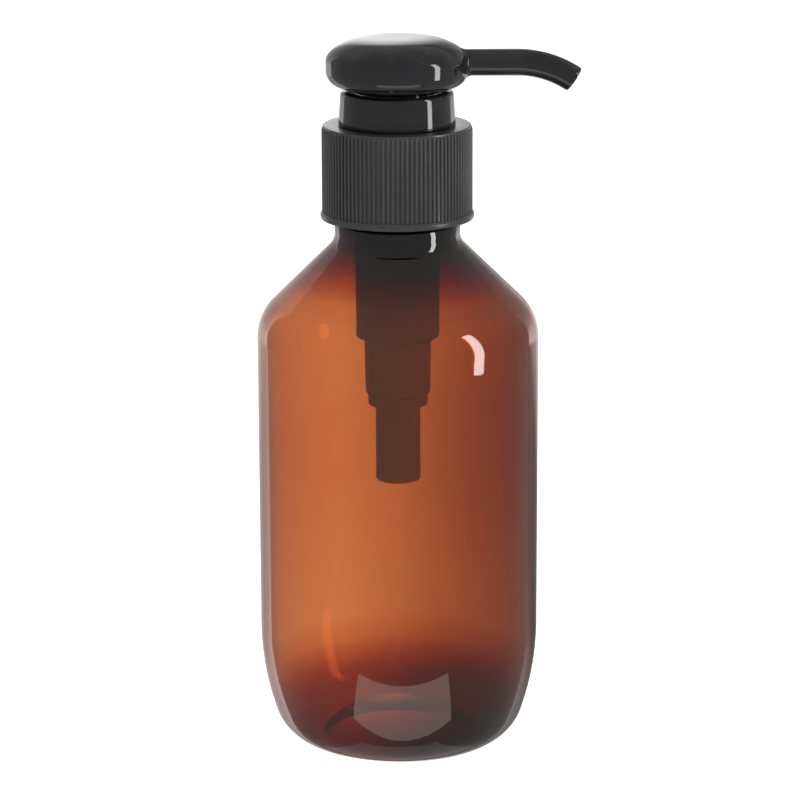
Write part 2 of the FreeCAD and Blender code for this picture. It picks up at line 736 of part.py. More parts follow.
save("bottle", bottle_shapes())
save("gasket", gasket_shape())
save("pump_housing", housing_shape())
save("locking_collar", collar_shape())
save("closure", closure_shape())
save("actuator_head", head_shape())
save("stem", stem_shape())
save("plunger", plunger_shape())
save("piston", piston_shape())
save("return_spring", spring_shape())
save("ball_cage", cage_shape())
save("inlet_ball", ball_shape())
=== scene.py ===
import math

import bmesh
import bpy
from mathutils import Matrix, Quaternion, Vector


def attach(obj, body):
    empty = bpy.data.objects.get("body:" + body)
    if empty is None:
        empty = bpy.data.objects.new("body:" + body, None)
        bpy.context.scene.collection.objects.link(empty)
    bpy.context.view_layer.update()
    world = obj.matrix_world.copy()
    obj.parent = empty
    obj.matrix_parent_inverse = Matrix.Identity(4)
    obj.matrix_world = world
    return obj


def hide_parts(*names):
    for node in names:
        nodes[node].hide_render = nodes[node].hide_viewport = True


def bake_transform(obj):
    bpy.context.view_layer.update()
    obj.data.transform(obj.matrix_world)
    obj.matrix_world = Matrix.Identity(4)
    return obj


# Soap pump dispenser: amber bottle, ribbed black closure and twist-lock pump with a curved spout.
# Outlines are written in millimetres from the bottle's axis and its standing plane, and made in metres.

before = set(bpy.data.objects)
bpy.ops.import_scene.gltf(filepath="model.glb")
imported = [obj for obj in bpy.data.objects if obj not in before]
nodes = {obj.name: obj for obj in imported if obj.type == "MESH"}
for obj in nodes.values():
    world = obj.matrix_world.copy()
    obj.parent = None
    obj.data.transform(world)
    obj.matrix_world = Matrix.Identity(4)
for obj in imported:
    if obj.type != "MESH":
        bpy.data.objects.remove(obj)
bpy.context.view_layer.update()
MM = 0.001

# ---------------------------------------------------------------- sizes, in millimetres

BOTTLE_RADIUS = 31.5
BOTTLE_WALL = 1.05
LIP_HEIGHT = 138.4
THREAD_LEAD = 4.233
THREAD_START = 129.5
CLOSURE_ROOT = 16.35
CLOSURE_CREST = 16.75
CLOSURE_FLARE = 17.1
RIB_COUNT = 100
HEAD_RADIUS = 15.75
HEAD_PARTING = 156.2
HEAD_DOME = 6.1
DISH_RADIUS = 10.5
DISH_DEPTH = 0.8
SPOUT_HEIGHT = 155.8
SPOUT_STRAIGHT = 26.2
SPOUT_BEND = 23.0
SPOUT_ANGLE = 34.0


# ---------------------------------------------------------------- outlines

def around(centre, radius, first, last, steps=12):
    """Points of an arc, from one angle to another, in degrees."""
    points = []
    for index in range(steps + 1):
        angle = math.radians(first + (last - first) * index / steps)
        points.append((centre[0] + radius * math.cos(angle), centre[1] + radius * math.sin(angle)))
    return points


def eased(corners, steps=4):
    """An outline of (radius, height) or (radius, height, rounding) corners, the rounded ones as arcs."""
    points = []
    count = len(corners)
    for index, corner in enumerate(corners):
        here = Vector(corner[:2])
        rounding = corner[2] if len(corner) > 2 else 0
        if not rounding:
            points.append(tuple(here))
            continue
        before = Vector(corners[index - 1][:2])
        after = Vector(corners[(index + 1) % count][:2])
        back = (before - here).normalized()
        ahead = (after - here).normalized()
        half = back.angle(ahead) / 2
        cut = min(rounding / math.tan(half), (before - here).length * 0.49, (after - here).length * 0.49)
        radius = cut * math.tan(half)
        centre = here + (back + ahead).normalized() * (radius / math.sin(half))
        start = here + back * cut - centre
        sweep = math.pi - 2 * half
        if back.cross(ahead) > 0:
            sweep = -sweep
        for step in range(steps + 1):
            angle = sweep * step / steps
            turned = Matrix.Rotation(angle, 2) @ start
            points.append(tuple(centre + turned))
    return points


def joined(*runs):
    """Several runs of points as one outline, without repeats where they meet."""
    points = []
    for run in runs:
        for point in run:
            if not points or math.dist(points[-1], point) > 1e-4:
                points.append(tuple(point))
    return points


# ---------------------------------------------------------------- geometry node trees

def new_tree(name, inputs):
    """A geometry tree with a Geometry input, the named inputs and a Geometry output."""
    tree = bpy.data.node_groups.new(name, "GeometryNodeTree")
    tree.interface.new_socket("Geometry", in_out="INPUT", socket_type="NodeSocketGeometry")
    for label, kind, value in inputs:
        socket = tree.interface.new_socket(label, in_out="INPUT", socket_type=kind)
        if value is not None:
            socket.default_value = value
    tree.interface.new_socket("Geometry", in_out="OUTPUT", socket_type="NodeSocketGeometry")
    start = tree.nodes.new("NodeGroupInput")
    end = tree.nodes.new("NodeGroupOutput")
    return tree, start, end


def finish_tree(tree, start, end, geometry):
    """Ends a tree with Realize Instances and Set Material."""
    realize = tree.nodes.new("GeometryNodeRealizeInstances")
    smooth = tree.nodes.new("GeometryNodeSetShadeSmooth")
    paint = tree.nodes.new("GeometryNodeSetMaterial")
    tree.links.new(geometry, realize.inputs["Geometry"])
    tree.links.new(realize.outputs["Geometry"], smooth.inputs["Geometry"])
    tree.links.new(smooth.outputs["Geometry"], paint.inputs["Geometry"])
    tree.links.new(start.outputs["Material"], paint.inputs["Material"])
    tree.links.new(paint.outputs["Geometry"], end.inputs["Geometry"])


def turned_tree():
    """Turns an outline round the axis. The outline lies in the XY plane: X is the radius and Y the height."""
    tree, start, end = new_tree("turned_piece", [
        ("Sides", "NodeSocketInt", 128),
        ("Path radius", "NodeSocketFloat", 0.001),
        ("Material", "NodeSocketMaterial", None),
    ])
    outline = tree.nodes.new("GeometryNodeMeshToCurve")
    tree.links.new(start.outputs["Geometry"], outline.inputs["Mesh"])
    less = tree.nodes.new("ShaderNodeMath")
    less.operation = "MULTIPLY"
    less.inputs[1].default_value = -1.0
    tree.links.new(start.outputs["Path radius"], less.inputs[0])
    offset = tree.nodes.new("ShaderNodeCombineXYZ")
    tree.links.new(less.outputs[0], offset.inputs["X"])
    place = tree.nodes.new("GeometryNodeTransform")
    place.inputs["Scale"].default_value = (1.0, -1.0, 1.0)
    tree.links.new(outline.outputs["Curve"], place.inputs["Geometry"])
    tree.links.new(offset.outputs["Vector"], place.inputs["Translation"])
    circle = tree.nodes.new("GeometryNodeCurvePrimitiveCircle")
    tree.links.new(start.outputs["Sides"], circle.inputs["Resolution"])
    tree.links.new(start.outputs["Path radius"], circle.inputs["Radius"])
    sweep = tree.nodes.new("GeometryNodeCurveToMesh")
    tree.links.new(circle.outputs["Curve"], sweep.inputs["Curve"])
    tree.links.new(place.outputs["Geometry"], sweep.inputs["Profile Curve"])
    merge = tree.nodes.new("GeometryNodeMergeByDistance")
    merge.inputs["Distance"].default_value = 2e-6
    tree.links.new(sweep.outputs["Mesh"], merge.inputs["Geometry"])
    finish_tree(tree, start, end, merge.outputs["Geometry"])
    return tree


def ring_tree():
    """Stands copies of one bar round the axis, as the closure's grip ribs or the head's stiffening ribs."""
    tree, start, end = new_tree("bars_in_a_ring", [
        ("Count", "NodeSocketInt", 12),
        ("Radius", "NodeSocketFloat", 0.01),
        ("Turn", "NodeSocketFloat", 0.0),
        ("Material", "NodeSocketMaterial", None),
    ])
    circle = tree.nodes.new("GeometryNodeMeshCircle")
    tree.links.new(start.outputs["Count"], circle.inputs["Vertices"])
    tree.links.new(start.outputs["Radius"], circle.inputs["Radius"])
    position = tree.nodes.new("GeometryNodeInputPosition")
    split = tree.nodes.new("ShaderNodeSeparateXYZ")
    tree.links.new(position.outputs["Position"], split.inputs["Vector"])
    facing = tree.nodes.new("ShaderNodeMath")
    facing.operation = "ARCTAN2"
    tree.links.new(split.outputs["Y"], facing.inputs[0])
    tree.links.new(split.outputs["X"], facing.inputs[1])
    turn = tree.nodes.new("ShaderNodeCombineXYZ")
    tree.links.new(facing.outputs[0], turn.inputs["Z"])
    copies = tree.nodes.new("GeometryNodeInstanceOnPoints")
    tree.links.new(circle.outputs["Mesh"], copies.inputs["Points"])
    tree.links.new(start.outputs["Geometry"], copies.inputs["Instance"])
    tree.links.new(turn.outputs["Vector"], copies.inputs["Rotation"])
    around_axis = tree.nodes.new("ShaderNodeCombineXYZ")
    tree.links.new(start.outputs["Turn"], around_axis.inputs["Z"])
    whole = tree.nodes.new("GeometryNodeTransform")
    tree.links.new(copies.outputs["Instances"], whole.inputs["Geometry"])
    tree.links.new(around_axis.outputs["Vector"], whole.inputs["Rotation"])
    finish_tree(tree, start, end, whole.outputs["Geometry"])
    return tree


def wound_tree():
    """Winds a section round the axis as a right-hand helix, for the screw threads and the spring."""
    tree, start, end = new_tree("wound_section", [
        ("Turns", "NodeSocketFloat", 1.5),
        ("Steps per turn", "NodeSocketInt", 72),
        ("Radius", "NodeSocketFloat", 0.01),
        ("Rise", "NodeSocketFloat", 0.006),
        ("Start height", "NodeSocketFloat", 0.0),
        ("Turn", "NodeSocketFloat", 0.0),
        ("End taper", "NodeSocketFloat", 0.0),
        ("Material", "NodeSocketMaterial", None),
    ])
    section = tree.nodes.new("GeometryNodeMeshToCurve")
    tree.links.new(start.outputs["Geometry"], section.inputs["Mesh"])
    helix = tree.nodes.new("GeometryNodeCurveSpiral")
    tree.links.new(start.outputs["Turns"], helix.inputs["Rotations"])
    tree.links.new(start.outputs["Steps per turn"], helix.inputs["Resolution"])
    tree.links.new(start.outputs["Radius"], helix.inputs["Start Radius"])
    tree.links.new(start.outputs["Radius"], helix.inputs["End Radius"])
    tree.links.new(start.outputs["Rise"], helix.inputs["Height"])
    upright = tree.nodes.new("GeometryNodeSetCurveNormal")
    upright.mode = "Z_UP"
    tree.links.new(helix.outputs["Curve"], upright.inputs["Curve"])
    along = tree.nodes.new("GeometryNodeSplineParameter")
    centred = tree.nodes.new("ShaderNodeMath")
    centred.operation = "PINGPONG"
    centred.inputs[1].default_value = 0.5
    tree.links.new(along.outputs["Factor"], centred.inputs[0])
    swell = tree.nodes.new("ShaderNodeMapRange")
    swell.inputs["To Min"].default_value = 0.06
    tree.links.new(centred.outputs[0], swell.inputs["Value"])
    tree.links.new(start.outputs["End taper"], swell.inputs["From Max"])
    plain = tree.nodes.new("ShaderNodeMath")
    plain.operation = "LESS_THAN"
    plain.inputs[1].default_value = 1e-5
    tree.links.new(start.outputs["End taper"], plain.inputs[0])
    size = tree.nodes.new("ShaderNodeMath")
    size.operation = "MAXIMUM"
    tree.links.new(swell.outputs["Result"], size.inputs[0])
    tree.links.new(plain.outputs[0], size.inputs[1])
    sweep = tree.nodes.new("GeometryNodeCurveToMesh")
    sweep.inputs["Fill Caps"].default_value = True
    tree.links.new(upright.outputs["Curve"], sweep.inputs["Curve"])
    tree.links.new(section.outputs["Curve"], sweep.inputs["Profile Curve"])
    tree.links.new(size.outputs[0], sweep.inputs["Scale"])
    lift = tree.nodes.new("ShaderNodeCombineXYZ")
    tree.links.new(start.outputs["Start height"], lift.inputs["Z"])
    turn = tree.nodes.new("ShaderNodeCombineXYZ")
    tree.links.new(start.outputs["Turn"], turn.inputs["Z"])
    place = tree.nodes.new("GeometryNodeTransform")
    tree.links.new(sweep.outputs["Mesh"], place.inputs["Geometry"])
    tree.links.new(lift.outputs["Vector"], place.inputs["Translation"])
    tree.links.new(turn.outputs["Vector"], place.inputs["Rotation"])
    finish_tree(tree, start, end, place.outputs["Geometry"])
    return tree


TURNED = turned_tree()
RING = ring_tree()
WOUND = wound_tree()


def grown(name, seed, tree, material, **values):
    """The tree's result on the seed mesh, as a plain mesh object."""
    modifier = seed.modifiers.new("grow", "NODES")
    modifier.node_group = tree
    sockets = {s.name: s.identifier for s in tree.interface.items_tree if s.in_out == "INPUT"}
    modifier[sockets["Material"]] = material
    for label, value in values.items():
        modifier[sockets[label.replace("_", " ")]] = value
    bpy.context.view_layer.update()
    seen = seed.evaluated_get(bpy.context.evaluated_depsgraph_get())
    mesh = bpy.data.meshes.new_from_object(seen)
    old = seed.data
    bpy.data.objects.remove(seed)
    bpy.data.meshes.remove(old)
    mesh.name = name
    made = bpy.data.objects.new(name, mesh)
    bpy.context.scene.collection.objects.link(made)
    return made


def seed_mesh(name, points, edges=(), faces=()):
    mesh = bpy.data.meshes.new(name + "_seed")
    mesh.from_pydata([tuple(c * MM for c in p) for p in points], edges, faces)
    made = bpy.data.objects.new(name + "_seed", mesh)
    bpy.context.scene.collection.objects.link(made)
    return made


def closed_edges(count):
    return [(i, (i + 1) % count) for i in range(count)]


def turned(name, outline, material, sides=160, closed=False):
    """A turned piece. An open outline starts and ends on the axis; a closed one is a ring's section."""
    count = len(outline)
    edges = closed_edges(count) if closed else [(i, i + 1) for i in range(count - 1)]
    seed = seed_mesh(name, [(r, h, 0) for r, h in outline], edges)
    return grown(name, seed, TURNED, material, Sides=sides)


def tidy(piece, sharp=32.0):
    """Merges doubles, turns the faces outwards and marks the edges that stay crisp."""
    work = bmesh.new()
    work.from_mesh(piece.data)
    bmesh.ops.remove_doubles(work, verts=work.verts, dist=1e-6)
    bmesh.ops.dissolve_degenerate(work, edges=work.edges, dist=1e-7)
    bmesh.ops.recalc_face_normals(work, faces=work.faces)
    work.to_mesh(piece.data)
    work.free()
    piece.data.shade_smooth()
    piece.data.set_sharp_from_angle(angle=math.radians(sharp))
    return piece


def as_one(name, pieces):
    """Joins finished shells into one piece."""
    keep = pieces[0]
    with bpy.context.temp_override(
        active_object=keep, selected_objects=pieces, selected_editable_objects=pieces, object=keep
    ):
        if len(pieces) > 1:
            bpy.ops.object.join()
    keep.name = name
    keep.data.name = name
    return keep


def solid(name, points, faces, material):
    mesh = bpy.data.meshes.new(name)
    mesh.from_pydata([tuple(c * MM for c in p) for p in points], [], faces)
    mesh.materials.append(material)
    made = bpy.data.objects.new(name, mesh)
    bpy.context.scene.collection.objects.link(made)
    return made


def block_of_ring(name, inner, outer, low, high, centre_angle, span, material, steps=14):
    """A sector of a ring, as a lug of the twist lock."""
    points = []
    for index in range(steps + 1):
        angle = math.radians(centre_angle - span / 2 + span * index / steps)
        for radius, height in ((inner, low), (outer, low), (outer, high), (inner, high)):
            points.append((radius * math.cos(angle), radius * math.sin(angle), height))
    faces = [(0, 1, 2, 3), tuple(4 * steps + i for i in (3, 2, 1, 0))]
    for index in range(steps):
        for side in range(4):
            a = 4 * index + side
            b = 4 * index + (side + 1) % 4
            faces.append((a, a + 4, b + 4, b))
    return solid(name, points, faces, material)


# ---------------------------------------------------------------- shader groups

def new_group(name, inputs, outputs):
    group = bpy.data.node_groups.new(name, "ShaderNodeTree")
    for label, kind, value in inputs:
        socket = group.interface.new_socket(label, in_out="INPUT", socket_type=kind)
        if value is not None:
            socket.default_value = value
    for label, kind in outputs:
        group.interface.new_socket(label, in_out="OUTPUT", socket_type=kind)
    return group, group.nodes.new("NodeGroupInput"), group.nodes.new("NodeGroupOutput")


def math_node(tree, operation, first, second=None, clamp=False):
    node = tree.nodes.new("ShaderNodeMath")
    node.operation = operation
    node.use_clamp = clamp
    for socket, value in zip(node.inputs, (first, second)):
        if value is None:
            continue
        if isinstance(value, (int, float)):
            socket.default_value = value
        else:
            tree.links.new(value, socket)
    return node.outputs[0]


def noise_node(tree, vector, scale, detail=2.0, roughness=0.5):
    node = tree.nodes.new("ShaderNodeTexNoise")
    node.inputs["Detail"].default_value = detail
    node.inputs["Roughness"].default_value = roughness
    if isinstance(scale, (int, float)):
        node.inputs["Scale"].default_value = scale
    else:
        tree.links.new(scale, node.inputs["Scale"])
    tree.links.new(vector, node.inputs["Vector"])
    return node


def range_node(tree, value, low, high, to_low=0.0, to_high=1.0):
    node = tree.nodes.new("ShaderNodeMapRange")
    node.inputs["From Min"].default_value = low
    node.inputs["From Max"].default_value = high
    node.inputs["To Min"].default_value = to_low
    node.inputs["To Max"].default_value = to_high
    tree.links.new(value, node.inputs["Value"])
    return node.outputs["Result"]


def dust_group():
    """Fine specks and faint settled haze, more on faces that look up."""
    group, start, end = new_group("settled_dust", [
        ("Vector", "NodeSocketVector", None),
        ("Normal", "NodeSocketVector", None),
        ("Speck scale", "NodeSocketFloat", 900.0),
        ("Amount", "NodeSocketFloat", 0.3),
    ], [("Mask", "NodeSocketFloat")])
    specks = group.nodes.new("ShaderNodeTexVoronoi")
    specks.feature = "F1"
    group.links.new(start.outputs["Vector"], specks.inputs["Vector"])
    group.links.new(start.outputs["Speck scale"], specks.inputs["Scale"])
    spot = range_node(group, specks.outputs["Distance"], 0.16, 0.05)
    chosen = group.nodes.new("ShaderNodeSeparateColor")
    group.links.new(specks.outputs["Color"], chosen.inputs["Color"])
    rare = math_node(group, "GREATER_THAN", chosen.outputs["Red"], 0.86)
    spot = math_node(group, "MULTIPLY", spot, rare)
    split = group.nodes.new("ShaderNodeSeparateXYZ")
    group.links.new(start.outputs["Normal"], split.inputs["Vector"])
    up = range_node(group, split.outputs["Z"], 0.2, 1.0, 0.12, 1.0)
    cloud = noise_node(group, start.outputs["Vector"], 140.0, 4.0, 0.6)
    haze = range_node(group, cloud.outputs["Fac"], 0.45, 0.8, 0.0, 0.35)
    total = math_node(group, "ADD", spot, haze)
    total = math_node(group, "MULTIPLY", total, up)
    total = math_node(group, "MULTIPLY", total, start.outputs["Amount"], clamp=True)
    group.links.new(total, end.inputs["Mask"])
    return group


def scuff_group():
    """Hair scratches in two directions and soft rub marks, as a mask for roughness and height."""
    group, start, end = new_group("handling_scuffs", [
        ("Vector", "NodeSocketVector", None),
        ("Scale", "NodeSocketFloat", 60.0),
        ("Amount", "NodeSocketFloat", 0.3),
    ], [("Mask", "NodeSocketFloat")])
    total = None
    for tilt, stretch in ((0.5, (1.0, 1.0, 0.05)), (-0.9, (0.06, 1.0, 1.0))):
        turn = group.nodes.new("ShaderNodeMapping")
        turn.inputs["Rotation"].default_value = (tilt, tilt * 0.6, tilt)
        turn.inputs["Scale"].default_value = stretch
        group.links.new(start.outputs["Vector"], turn.inputs["Vector"])
        fine = math_node(group, "MULTIPLY", start.outputs["Scale"], 9.0)
        lines = noise_node(group, turn.outputs["Vector"], fine, 3.0, 0.55)
        hair = range_node(group, lines.outputs["Fac"], 0.66, 0.74)
        total = hair if total is None else math_node(group, "MAXIMUM", total, hair)
    rub = noise_node(group, start.outputs["Vector"], start.outputs["Scale"], 4.0, 0.6)
    rubbed = range_node(group, rub.outputs["Fac"], 0.5, 0.75, 0.0, 0.5)
    worn = math_node(group, "MULTIPLY", total, rubbed)
    total = math_node(group, "ADD", worn, math_node(group, "MULTIPLY", rubbed, 0.35))
    total = math_node(group, "MULTIPLY", total, start.outputs["Amount"], clamp=True)
    group.links.new(total, end.inputs["Mask"])
    return group


def wear_group():
    """Edges rubbed paler by handling."""
    group, start, end = new_group("edge_wear", [
        ("Vector", "NodeSocketVector", None),
        ("Pointiness", "NodeSocketFloat", 0.5),
        ("Low", "NodeSocketFloat", 0.52),
        ("High", "NodeSocketFloat", 0.6),
        ("Breakup scale", "NodeSocketFloat", 500.0),
    ], [("Mask", "NodeSocketFloat")])
    edge = group.nodes.new("ShaderNodeMapRange")
    group.links.new(start.outputs["Pointiness"], edge.inputs["Value"])
    group.links.new(start.outputs["Low"], edge.inputs["From Min"])
    group.links.new(start.outputs["High"], edge.inputs["From Max"])
    breakup = noise_node(group, start.outputs["Vector"], start.outputs["Breakup scale"], 3.0, 0.6)
    patchy = range_node(group, breakup.outputs["Fac"], 0.35, 0.65, 0.25, 1.0)
    mask = math_node(group, "MULTIPLY", edge.outputs["Result"], patchy, clamp=True)
    group.links.new(mask, end.inputs["Mask"])
    return group


def grain_group():
    """Moulded-plastic skin: a fine spark-eroded grain over a slow waviness, as a height."""
    group, start, end = new_group("moulded_grain", [
        ("Vector", "NodeSocketVector", None),
        ("Grain scale", "NodeSocketFloat", 2500.0),
        ("Grain", "NodeSocketFloat", 0.3),
        ("Wave scale", "NodeSocketFloat", 70.0),
        ("Wave", "NodeSocketFloat", 1.0),
    ], [("Height", "NodeSocketFloat")])
    fine = noise_node(group, start.outputs["Vector"], start.outputs["Grain scale"], 2.0, 0.6)
    slow = noise_node(group, start.outputs["Vector"], start.outputs["Wave scale"], 1.0, 0.4)
    a = math_node(group, "MULTIPLY", fine.outputs["Fac"], start.outputs["Grain"])
    b = math_node(group, "MULTIPLY", slow.outputs["Fac"], start.outputs["Wave"])
    group.links.new(math_node(group, "ADD", a, b), end.inputs["Height"])
    return group


DUST = dust_group()
SCUFF = scuff_group()
WEAR = wear_group()
GRAIN = grain_group()


# ---------------------------------------------------------------- materials

def new_material(name):
    material = bpy.data.materials.new(name)
    material.use_nodes = True
    tree = material.node_tree
    tree.nodes.clear()
    shader = tree.nodes.new("ShaderNodeBsdfPrincipled")
    out = tree.nodes.new("ShaderNodeOutputMaterial")
    tree.links.new(shader.outputs["BSDF"], out.inputs["Surface"])
    place = tree.nodes.new("ShaderNodeTexCoord").outputs["Object"]
    surface = tree.nodes.new("ShaderNodeNewGeometry")
    return material, tree, shader, place, surface


def group_node(tree, group, **values):
    node = tree.nodes.new("ShaderNodeGroup")
    node.node_tree = group
    for label, value in values.items():
        socket = node.inputs[label.replace("_", " ")]
        if isinstance(value, (int, float)):
            socket.default_value = value
        else:
            tree.links.new(value, socket)
    return node.outputs[0]


def blend_colour(tree, amount, first, second, kind="MIX"):
    node = tree.nodes.new("ShaderNodeMix")
    node.data_type = "RGBA"
    node.blend_type = kind
    if isinstance(amount, (int, float)):
        node.inputs["Factor"].default_value = amount
    else:
        tree.links.new(amount, node.inputs["Factor"])
    for label, value in (("A", first), ("B", second)):
        socket = [s for s in node.inputs if s.name == label and s.type == "RGBA"][0]
        if isinstance(value, tuple):
            socket.default_value = (*value, 1.0)
        else:
            tree.links.new(value, socket)
    return [s for s in node.outputs if s.type == "RGBA"][0]


def bump(tree, shader, height, distance, strength=1.0):
    node = tree.nodes.new("ShaderNodeBump")
    node.inputs["Strength"].default_value = strength
    node.inputs["Distance"].default_value = distance
    tree.links.new(height, node.inputs["Height"])
    tree.links.new(node.outputs["Normal"], shader.inputs["Normal"])


def moulded_plastic(name, colour, worn, roughness, spread, grain, wave, wear=(0.53, 0.62), dust=0.25, coat=0.0):
    """Solid coloured plastic: small colour drift, edge wear, dust, rub marks and a moulded skin."""
    material, tree, shader, place, surface = new_material(name)
    drift = noise_node(tree, place, 45.0, 3.0, 0.5)
    lighter = tuple(min(1.0, c * 1.25 + 0.001) for c in colour)
    base = blend_colour(tree, drift.outputs["Fac"], colour, lighter)
    edge = group_node(
        tree, WEAR, Vector=place, Pointiness=surface.outputs["Pointiness"], Low=wear[0], High=wear[1]
    )
    base = blend_colour(tree, edge, base, worn)
    specks = group_node(tree, DUST, Vector=place, Normal=surface.outputs["Normal"], Amount=dust)
    base = blend_colour(tree, specks, base, (0.42, 0.4, 0.37))
    tree.links.new(base, shader.inputs["Base Color"])
    scuffs = group_node(tree, SCUFF, Vector=place, Scale=55.0, Amount=0.5)
    rough = range_node(tree, scuffs, 0.0, 1.0, roughness, roughness + spread)
    rough = math_node(tree, "ADD", rough, math_node(tree, "MULTIPLY", specks, 0.35), clamp=True)
    tree.links.new(rough, shader.inputs["Roughness"])
    skin = group_node(tree, GRAIN, Vector=place, Grain=grain, Wave=wave)
    bump(tree, shader, skin, 0.00003)
    shader.inputs["IOR"].default_value = 1.5
    shader.inputs["Coat Weight"].default_value = coat
    return material


def amber_plastic():
    """Clear amber bottle plastic. Its tint is set by height and by side, with painted shade on one side and towards
    the neck, apart from the even dye in the wall.
    """
    material, tree, shader, place, surface = new_material("amber_plastic")
    split = tree.nodes.new("ShaderNodeSeparateXYZ")
    tree.links.new(place, split.inputs["Vector"])
    # painted shade: the tint deepens from the -X side to the +X side, a chosen look, as the wall is one thickness
    # all round
    across = tree.nodes.new("ShaderNodeValToRGB")
    set_ramp(across.color_ramp, PAINTED_SHADE_ACROSS)
    tree.links.new(range_node(tree, split.outputs["X"], -0.0315, 0.0315), across.inputs["Fac"])
    # and deepens towards the neck and the base, a chosen look too: partly standing for a thicker blown wall there,
    # which the turned wall doesn't have, partly painted shade under the closure
    along = tree.nodes.new("ShaderNodeValToRGB")
    set_ramp(along.color_ramp, [(place, value / DEEPEST) for place, value in TINT_AND_PAINTED_SHADE_ALONG])
    tree.links.new(range_node(tree, split.outputs["Z"], 0.0, 0.14), along.inputs["Fac"])
    cloud = noise_node(tree, place, 38.0, 2.0, 0.45)
    uneven = range_node(tree, cloud.outputs["Fac"], 0.3, 0.7, 0.95, 1.05)
    # how deep the tint is, with the painted shade from both ramps in it
    tint_and_painted_shade = math_node(tree, "MULTIPLY", across.outputs["Color"], along.outputs["Color"])
    tint_and_painted_shade = math_node(tree, "MULTIPLY", tint_and_painted_shade, math_node(tree, "MULTIPLY", uneven, TINT_DEPTH))
    tint = tree.nodes.new("ShaderNodeGamma")
    tint.inputs["Color"].default_value = (*AMBER, 1.0)
    tree.links.new(tint_and_painted_shade, tint.inputs["Gamma"])
    tree.links.new(tint.outputs["Color"], shader.inputs["Base Color"])
    scuffs = group_node(tree, SCUFF, Vector=place, Scale=30.0, Amount=0.35)
    specks = group_node(tree, DUST, Vector=place, Normal=surface.outputs["Normal"], Speck_scale=420.0, Amount=0.5)
    rough = range_node(tree, scuffs, 0.0, 1.0, 0.012, 0.12)
    rough = math_node(tree, "ADD", rough, math_node(tree, "MULTIPLY", specks, 0.4), clamp=True)
    tree.links.new(rough, shader.inputs["Roughness"])
    # faint waviness of the blown wall, longer up the bottle than round it
    stretch = tree.nodes.new("ShaderNodeMapping")
    stretch.inputs["Scale"].default_value = (1.0, 1.0, 0.35)
    tree.links.new(place, stretch.inputs["Vector"])
    skin = group_node(
        tree, GRAIN, Vector=stretch.outputs["Vector"], Grain_scale=900.0, Grain=0.012, Wave_scale=95.0, Wave=1.0
    )
    bump(tree, shader, skin, 0.00006)
    shader.inputs["Metallic"].default_value = 0.0
    shader.inputs["Transmission Weight"].default_value = 1.0
    shader.inputs["IOR"].default_value = 1.57
    # an even dye in the wall itself, so that it deepens where the wall is seen edge on
    dye = tree.nodes.new("ShaderNodeVolumeAbsorption")
    dye.inputs["Color"].default_value = AMBER_DYE
    dye.inputs["Density"].default_value = 1000.0
    out = [n for n in tree.nodes if n.type == "OUTPUT_MATERIAL"][0]
    tree.links.new(dye.outputs["Volume"], out.inputs["Volume"])
    return material


def set_ramp(ramp, stops):
    while len(ramp.elements) > 1:
        ramp.elements.remove(ramp.elements[-1])
    ramp.elements[0].position = stops[0][0]
    ramp.elements[0].color = (*(stops[0][1],) * 3, 1.0)
    for place, value in stops[1:]:
        ramp.elements.new(place).color = (*(value,) * 3, 1.0)


def milky_plastic(name, colour, through, roughness=0.38):
    """Natural pump plastic: milky, and lets some light through."""
    material, tree, shader, place, surface = new_material(name)
    drift = noise_node(tree, place, 60.0, 3.0, 0.5)
    base = blend_colour(tree, drift.outputs["Fac"], tuple(c * 0.93 for c in colour), colour)
    specks = group_node(tree, DUST, Vector=place, Normal=surface.outputs["Normal"], Amount=0.2)
    base = blend_colour(tree, specks, base, (0.35, 0.33, 0.3))
    tree.links.new(base, shader.inputs["Base Color"])
    scuffs = group_node(tree, SCUFF, Vector=place, Scale=70.0, Amount=0.4)
    tree.links.new(range_node(tree, scuffs, 0.0, 1.0, roughness, roughness + 0.2), shader.inputs["Roughness"])
    skin = group_node(tree, GRAIN, Vector=place, Grain=0.25, Wave=0.6)
    bump(tree, shader, skin, 0.00003)
    shader.inputs["Transmission Weight"].default_value = through
    shader.inputs["IOR"].default_value = 1.5
    return material


def spring_wire():
    """Drawn steel wire: long faint draw lines and a little tarnish."""
    material, tree, shader, place, surface = new_material("spring_wire")
    tarnish = noise_node(tree, place, 260.0, 3.0, 0.6)
    base = blend_colour(tree, tarnish.outputs["Fac"], (0.42, 0.41, 0.4), (0.62, 0.61, 0.6))
    tree.links.new(base, shader.inputs["Base Color"])
    scuffs = group_node(tree, SCUFF, Vector=place, Scale=240.0, Amount=0.8)
    tree.links.new(range_node(tree, scuffs, 0.0, 1.0, 0.22, 0.5), shader.inputs["Roughness"])
    skin = group_node(tree, GRAIN, Vector=place, Grain_scale=3000.0, Grain=0.4, Wave_scale=900.0, Wave=0.2)
    bump(tree, shader, skin, 0.00002)
    shader.inputs["Metallic"].default_value = 1.0
    return material


def polished_ball():
    """Bearing-steel ball, nearly mirror bright with a few rub marks."""
    material, tree, shader, place, surface = new_material("polished_ball")
    scuffs = group_node(tree, SCUFF, Vector=place, Scale=300.0, Amount=0.6)
    base = blend_colour(tree, scuffs, (0.62, 0.62, 0.63), (0.48, 0.48, 0.48))
    tree.links.new(base, shader.inputs["Base Color"])
    tree.links.new(range_node(tree, scuffs, 0.0, 1.0, 0.06, 0.3), shader.inputs["Roughness"])
    shader.inputs["Metallic"].default_value = 1.0
    return material


